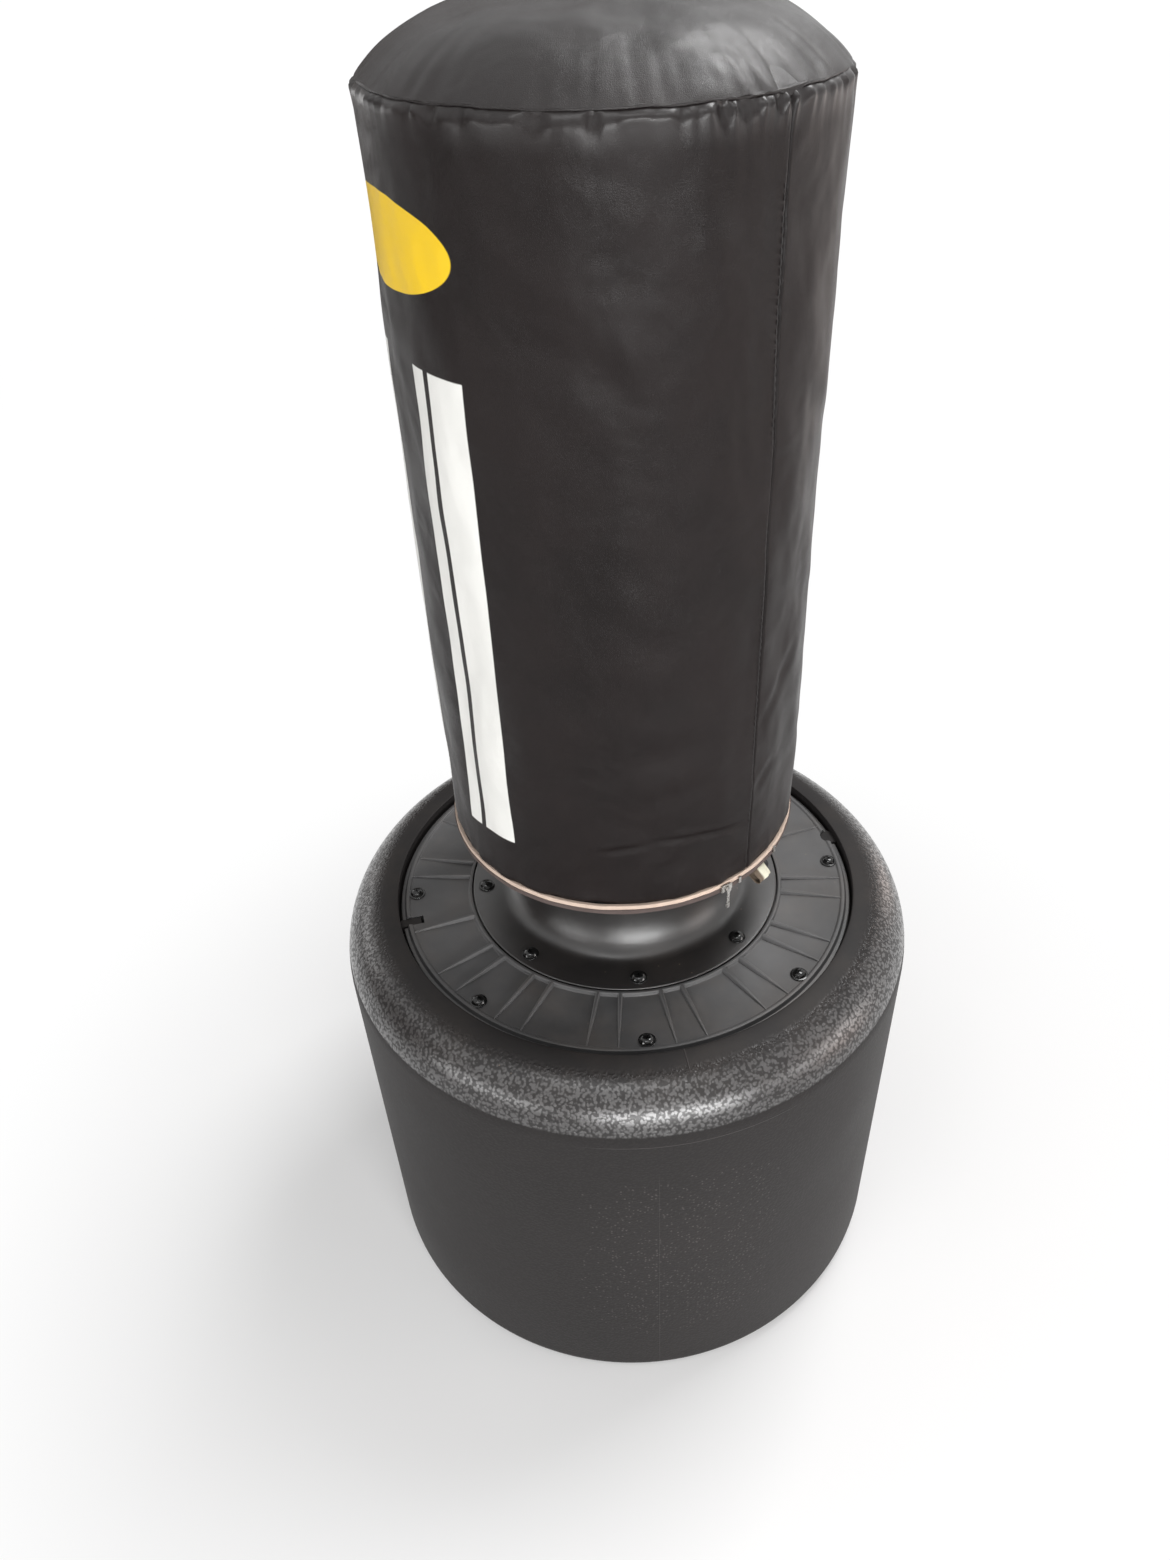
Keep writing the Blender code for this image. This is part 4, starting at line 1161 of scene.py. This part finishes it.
class BAG_OT_slider(bpy.types.Operator):
    """Nickel slider with its stud, and the hanging pull"""

    bl_idname = "bag.slider"
    bl_label = "Zip slider"

    def execute(self, context):
        look = material("nickel_plate")
        turn = Matrix.Rotation(math.radians(SLIDER_ANGLE), 4, "Z")
        seat = BAG_R + 0.0003
        bm = bmesh.new()
        for vert in add_box(bm, (0.0022, 0.012, 0.009), (seat + 0.0011, 0, 0)):
            if vert.co.y > 0:
                vert.co.z *= 0.72
        bmesh.ops.bevel(bm, geom=bm.edges[:], offset=0.0007, segments=2, affect="EDGES")
        place = Matrix.Translation((0, 0, ZIP_Z)) @ turn
        bmesh.ops.transform(bm, matrix=place, verts=bm.verts)
        slider = add_piece("slider", finish_mesh(bm, "slider"), look,
                           "slider", ["zip_slider"])
        axle = Matrix.Rotation(math.pi / 2, 4, "Y")
        for radius, low, high in ((0.0011, 0.0012, 0.0052), (0.0022, 0.0047, 0.0055)):
            stud = bmesh.new()
            where = place @ Matrix.Translation((BAG_R + (low + high) / 2, 0, 0)) @ axle
            add_rod(stud, radius, high - low, where, 20)
            combine(slider, stud, "UNION")
        bm = bmesh.new()
        head = 0.0026
        turns = [math.radians(a) for a in range(-120, 121, 20)]
        outline = [(head * math.sin(a), head * math.cos(a)) for a in turns]
        outline += [(0.0014, -0.0060), (0.0015, -0.0130), (0.0021, -0.0205), (0.0019, -0.0228),
                    (0.0011, -0.0240)]
        outline += [(-y, z) for y, z in reversed(outline[-5:])]
        thick = 0.0012
        middle = BAG_R + 0.0032 + 0.00015 + thick / 2
        face = bm.faces.new([bm.verts.new((middle - thick / 2, y, z)) for y, z in outline])
        made = bmesh.ops.extrude_face_region(bm, geom=[face])
        moved = [v for v in made["geom"] if isinstance(v, bmesh.types.BMVert)]
        bmesh.ops.translate(bm, verts=moved, vec=(thick, 0, 0))
        bmesh.ops.transform(bm, matrix=place, verts=bm.verts)
        pull = add_piece("pull", finish_mesh(bm, "pull"), look, "pull", ["zip_pull"])
        eye = bmesh.new()
        where = place @ Matrix.Translation((middle, 0, 0)) @ axle
        add_rod(eye, 0.0013, 0.006, where)
        combine(pull, eye, "DIFFERENCE")
        bevel = pull.modifiers.new("edge", "BEVEL")
        bevel.width = 0.0002
        bevel.segments = 2
        return {"FINISHED"}


class BAG_OT_tag(bpy.types.Operator):
    """Blank folded tag sewn in beside the end of the zip"""

    bl_idname = "bag.tag"
    bl_label = "Sewn tag"

    def execute(self, context):
        wide, leg, fold = 0.018, 0.011, 0.0040
        lean = math.radians(52)
        turn = Matrix.Rotation(math.radians(TAG_ANGLE), 4, "Z")
        path = [(leg * i / 8, 0.0) for i in range(9)]
        bends = [math.pi * i / 6 for i in range(1, 6)]
        path += [(leg + fold * math.sin(a), -fold + fold * math.cos(a)) for a in bends]
        path += [(leg * (8 - i) / 8, -2 * fold) for i in range(9)]
        bm = bmesh.new()
        rows = []
        across = 12
        for n, (along, out) in enumerate(path):
            row = []
            for k in range(across + 1):
                y = wide * (k / across - 0.5)
                curl = 0.0022 * math.sin(math.pi * k / across)
                curl += 0.0012 * math.sin(k * 0.9 + n * 0.15)
                off = out + curl * (along / leg)
                r = BAG_R - 0.004 + along * math.sin(lean) + off * math.cos(lean)
                z = ZIP_LOW - 0.0006 - along * math.cos(lean) + off * math.sin(lean)
                row.append(bm.verts.new(turn @ Vector((r, y, z))))
            rows.append(row)
        for a, b in zip(rows, rows[1:]):
            for k in range(across):
                bm.faces.new((a[k], a[k + 1], b[k + 1], b[k]))
        tag = add_piece("folded_tag", finish_mesh(bm, "folded_tag"), material("tag_weave"),
                        "bag", ["sewn_tag"], sharp=0)
        thick = tag.modifiers.new("cloth", "SOLIDIFY")
        thick.thickness = 0.0004
        return {"FINISHED"}


class BAG_OT_inside(bpy.types.Operator):
    """Foam, core tube and cap inside the cover"""

    bl_idname = "bag.inside"
    bl_label = "Padding and core"

    def execute(self, context):
        for node in ("core_tube", "core_cap"):
            dress(node, "core_tube_plastic")
        bores = {"foam_inner": 0.0963, "foam_outer": 0.1203, "foam_top": 0.0}
        for node, bore in bores.items():
            low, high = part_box(node)
            edge = high.x - (0.0052 if node == "foam_outer" else 0.0)
            if bore:
                middle = (bore + edge) / 2
                outline = eased([(middle, low.z), (edge, low.z), (edge, high.z), (bore, high.z),
                                 (bore, low.z), (middle - 0.001, low.z)], 0.004)
                bm = turned(outline, 96, ring=True)
            else:
                edge -= 0.004
                rise = DOME_HIGH - DOME_LOW - 0.008
                outline = [(0.0, low.z), (edge, low.z), (edge, DOME_LOW - 0.004)]
                for k in range(1, 13):
                    share = math.cos(math.pi / 2 * k / 12)
                    outline.append((edge * share, DOME_LOW - 0.002 + rise * (1 - share ** 4)))
                bm = turned(outline, 96)
            pad = add_piece(node + "_pad", finish_mesh(bm, node), material("foam_grey"),
                            "bag", [node])
        return {"FINISHED"}


def seen_rays(tree):
    """1 for rays that look at the background straight on, in a mirror or through glass."""
    rays = put(tree, "ShaderNodeLightPath").outputs
    seen = math_node(tree, "MAXIMUM", rays["Is Camera Ray"], rays["Is Transmission Ray"])
    return math_node(tree, "MAXIMUM", seen, rays["Is Glossy Ray"])


class BAG_OT_stage(bpy.types.Operator):
    """Pale floor, soft studio light and the photo's camera"""

    bl_idname = "bag.stage"
    bl_label = "Stage"

    def execute(self, context):
        stage = context.scene.bag_stage
        scene = context.scene
        scene.view_settings.view_transform = "Standard"
        bm = bmesh.new()
        bmesh.ops.create_grid(bm, x_segments=1, y_segments=1, size=40.0)
        floor = link_object("floor", finish_mesh(bm, "floor"))
        floor.data.materials.append(self.floor_paint(stage))
        floor.location.z = -0.0005
        bm = bmesh.new()
        far, heights = 4.0, (0.0, 2.4)
        turns = [75.0 + 7.5 * i for i in range(37)]
        ends = [[bm.verts.new(polar(far, turn, z)) for z in heights] for turn in turns]
        for a, b in zip(ends, ends[1:]):
            bm.faces.new((a[0], b[0], b[1], a[1]))
        walls = link_object("dark_wall", finish_mesh(bm, "dark_wall"))
        paint = new_material("wall_brown", Base_Color=rgba(stage.wall), Roughness=0.9)[0]
        walls.data.materials.append(paint)
        walls.visible_camera = False
        world = bpy.data.worlds.new("studio")
        scene.world = world
        world.use_nodes = True
        tree = world.node_tree
        tree.nodes.clear()
        ambient = 0.22
        strength = math_node(tree, "MULTIPLY_ADD", seen_rays(tree), 1.0 - ambient, ambient)
        back = put(tree, "ShaderNodeBackground", Color=(1, 1, 1, 1), Strength=strength)
        put(tree, "ShaderNodeOutputWorld", i0=back.outputs[0])
        warm = (1.0, 0.76, 0.66)
        self.light("front_strip", (0.45, -3.2, 0.98), (0.0, 0.0, 0.5), (2.6, 0.30), stage.key)
        self.light("left_strip", (-2.5, -2.0, 0.98), (0.0, 0.0, 0.5), (2.2, 0.30), stage.key * 0.28)
        self.light("right_strip", (2.9, -1.5, 0.98), (0.0, 0.0, 0.5), (2.2, 0.30), stage.key * 0.20)
        self.light("overhead", (1.15, 0.75, 3.0), (0.0, 0.0, 0.5), (1.2, 0.8), stage.top)
        self.light("ceiling", (-0.3, -1.2, 3.0), (0.0, 0.0, 0.9), (1.8, 0.10), stage.key * 0.15)
        self.light("left_back", (-2.5, 2.1, 1.15), (-0.2, 0.0, 0.45), (2.4, 0.9), stage.side * 1.1)
        self.light("right_low", (2.2, -0.8, 0.55), (0.0, 0.0, 0.7), (0.7, 1.0), stage.side * 0.28,
                   warm)
        self.light("right_back", (2.0, 1.3, 0.6), (0.0, 0.0, 0.8), (0.4, 1.1), stage.side * 0.16,
                   warm)
        self.camera(stage)
        return {"FINISHED"}

    def floor_paint(self, stage):
        """Pale floor that keeps the shadow near the object and is plain white further off."""
        paint, tree, shader = new_material("floor_white", Roughness=0.9, Specular_IOR_Level=0.1,
                                           Emission_Strength=1.0)
        seen = seen_rays(tree)
        place = use_group(tree, "Place about axis")
        far = times(tree, ramp(tree, place["Radius"], 0.38, 0.95), seen)
        glow = math_node(tree, "MULTIPLY_ADD", far, 0.80, times(tree, seen, 0.20))
        fill(tree, shader, Base_Color=mix(tree, far, rgba(stage.floor), (0, 0, 0, 1)),
             Emission_Color=glow)
        return paint

    def light(self, name, place, aim, size, power, colour=(1.0, 1.0, 1.0)):
        lamp = bpy.data.lights.new(name, "AREA")
        lamp.energy = power
        lamp.color = colour
        lamp.shape = "RECTANGLE"
        lamp.size, lamp.size_y = size
        obj = link_object(name, lamp)
        obj.location = place
        obj.visible_camera = False
        obj.rotation_euler = (Vector(aim) - Vector(place)).to_track_quat("-Z", "Y").to_euler()

    def camera(self, stage):
        pitch, roll, yaw = (math.radians(v) for v in (stage.pitch, stage.roll, stage.yaw))
        ahead = Vector((-math.sin(yaw) * math.cos(pitch), math.cos(yaw) * math.cos(pitch),
                        -math.sin(pitch)))
        level = Vector((math.cos(yaw), math.sin(yaw), 0.0))
        upward = level.cross(ahead)
        right = level * math.cos(roll) + upward * math.sin(roll)
        up = upward * math.cos(roll) - level * math.sin(roll)
        axes = Matrix((right, up, -ahead)).transposed().to_4x4()
        swing = Matrix.Rotation(math.radians(stage.swing), 4, "Z")
        view = bpy.data.cameras.new("photo_view")
        photo_tall = 1560.0
        view.sensor_width = 36.0
        view.lens = stage.focal * view.sensor_width / photo_tall
        view.shift_x = -24.4 / photo_tall
        view.shift_y = 25.6 / photo_tall
        view.clip_start = 0.01
        camera = link_object("photo_view", view)
        camera.matrix_world = swing @ Matrix.Translation((0, -stage.distance, stage.height)) @ axes
        bpy.context.scene.camera = camera


STEPS = (
    BAG_OT_stage, BAG_OT_tank, BAG_OT_plate, BAG_OT_collar, BAG_OT_screws, BAG_OT_plug,
    BAG_OT_inside, BAG_OT_cover_side, BAG_OT_cover_top, BAG_OT_stitches, BAG_OT_zip,
    BAG_OT_slider, BAG_OT_tag,
)


class BAG_PT_panel(bpy.types.Panel):
    """Lists the pieces, sizes and looks in the sidebar"""

    bl_idname = "BAG_PT_panel"
    bl_label = "Punching bag"
    bl_space_type = "VIEW_3D"
    bl_region_type = "UI"
    bl_category = "Punching bag"

    def draw(self, context):
        for step in STEPS:
            self.layout.operator(step.bl_idname)
        for group in (context.scene.bag_sizes, context.scene.bag_looks, context.scene.bag_stage):
            box = self.layout.box()
            for key in group.__annotations__:
                box.prop(group, key)


GROUPS = (BagLooks, BagSizes, BagStage)


def register():
    for cls in GROUPS + STEPS + (BAG_PT_panel,):
        bpy.utils.register_class(cls)
    bpy.types.Scene.bag_looks = PointerProperty(type=BagLooks)
    bpy.types.Scene.bag_sizes = PointerProperty(type=BagSizes)
    bpy.types.Scene.bag_stage = PointerProperty(type=BagStage)


def unregister():
    for name in ("bag_looks", "bag_sizes", "bag_stage"):
        delattr(bpy.types.Scene, name)
    for cls in reversed(GROUPS + STEPS + (BAG_PT_panel,)):
        bpy.utils.unregister_class(cls)


def main():
    register()
    for step in STEPS:
        family, name = step.bl_idname.split(".")
        getattr(getattr(bpy.ops, family), name)()


if __name__ == "__main__":
    main()
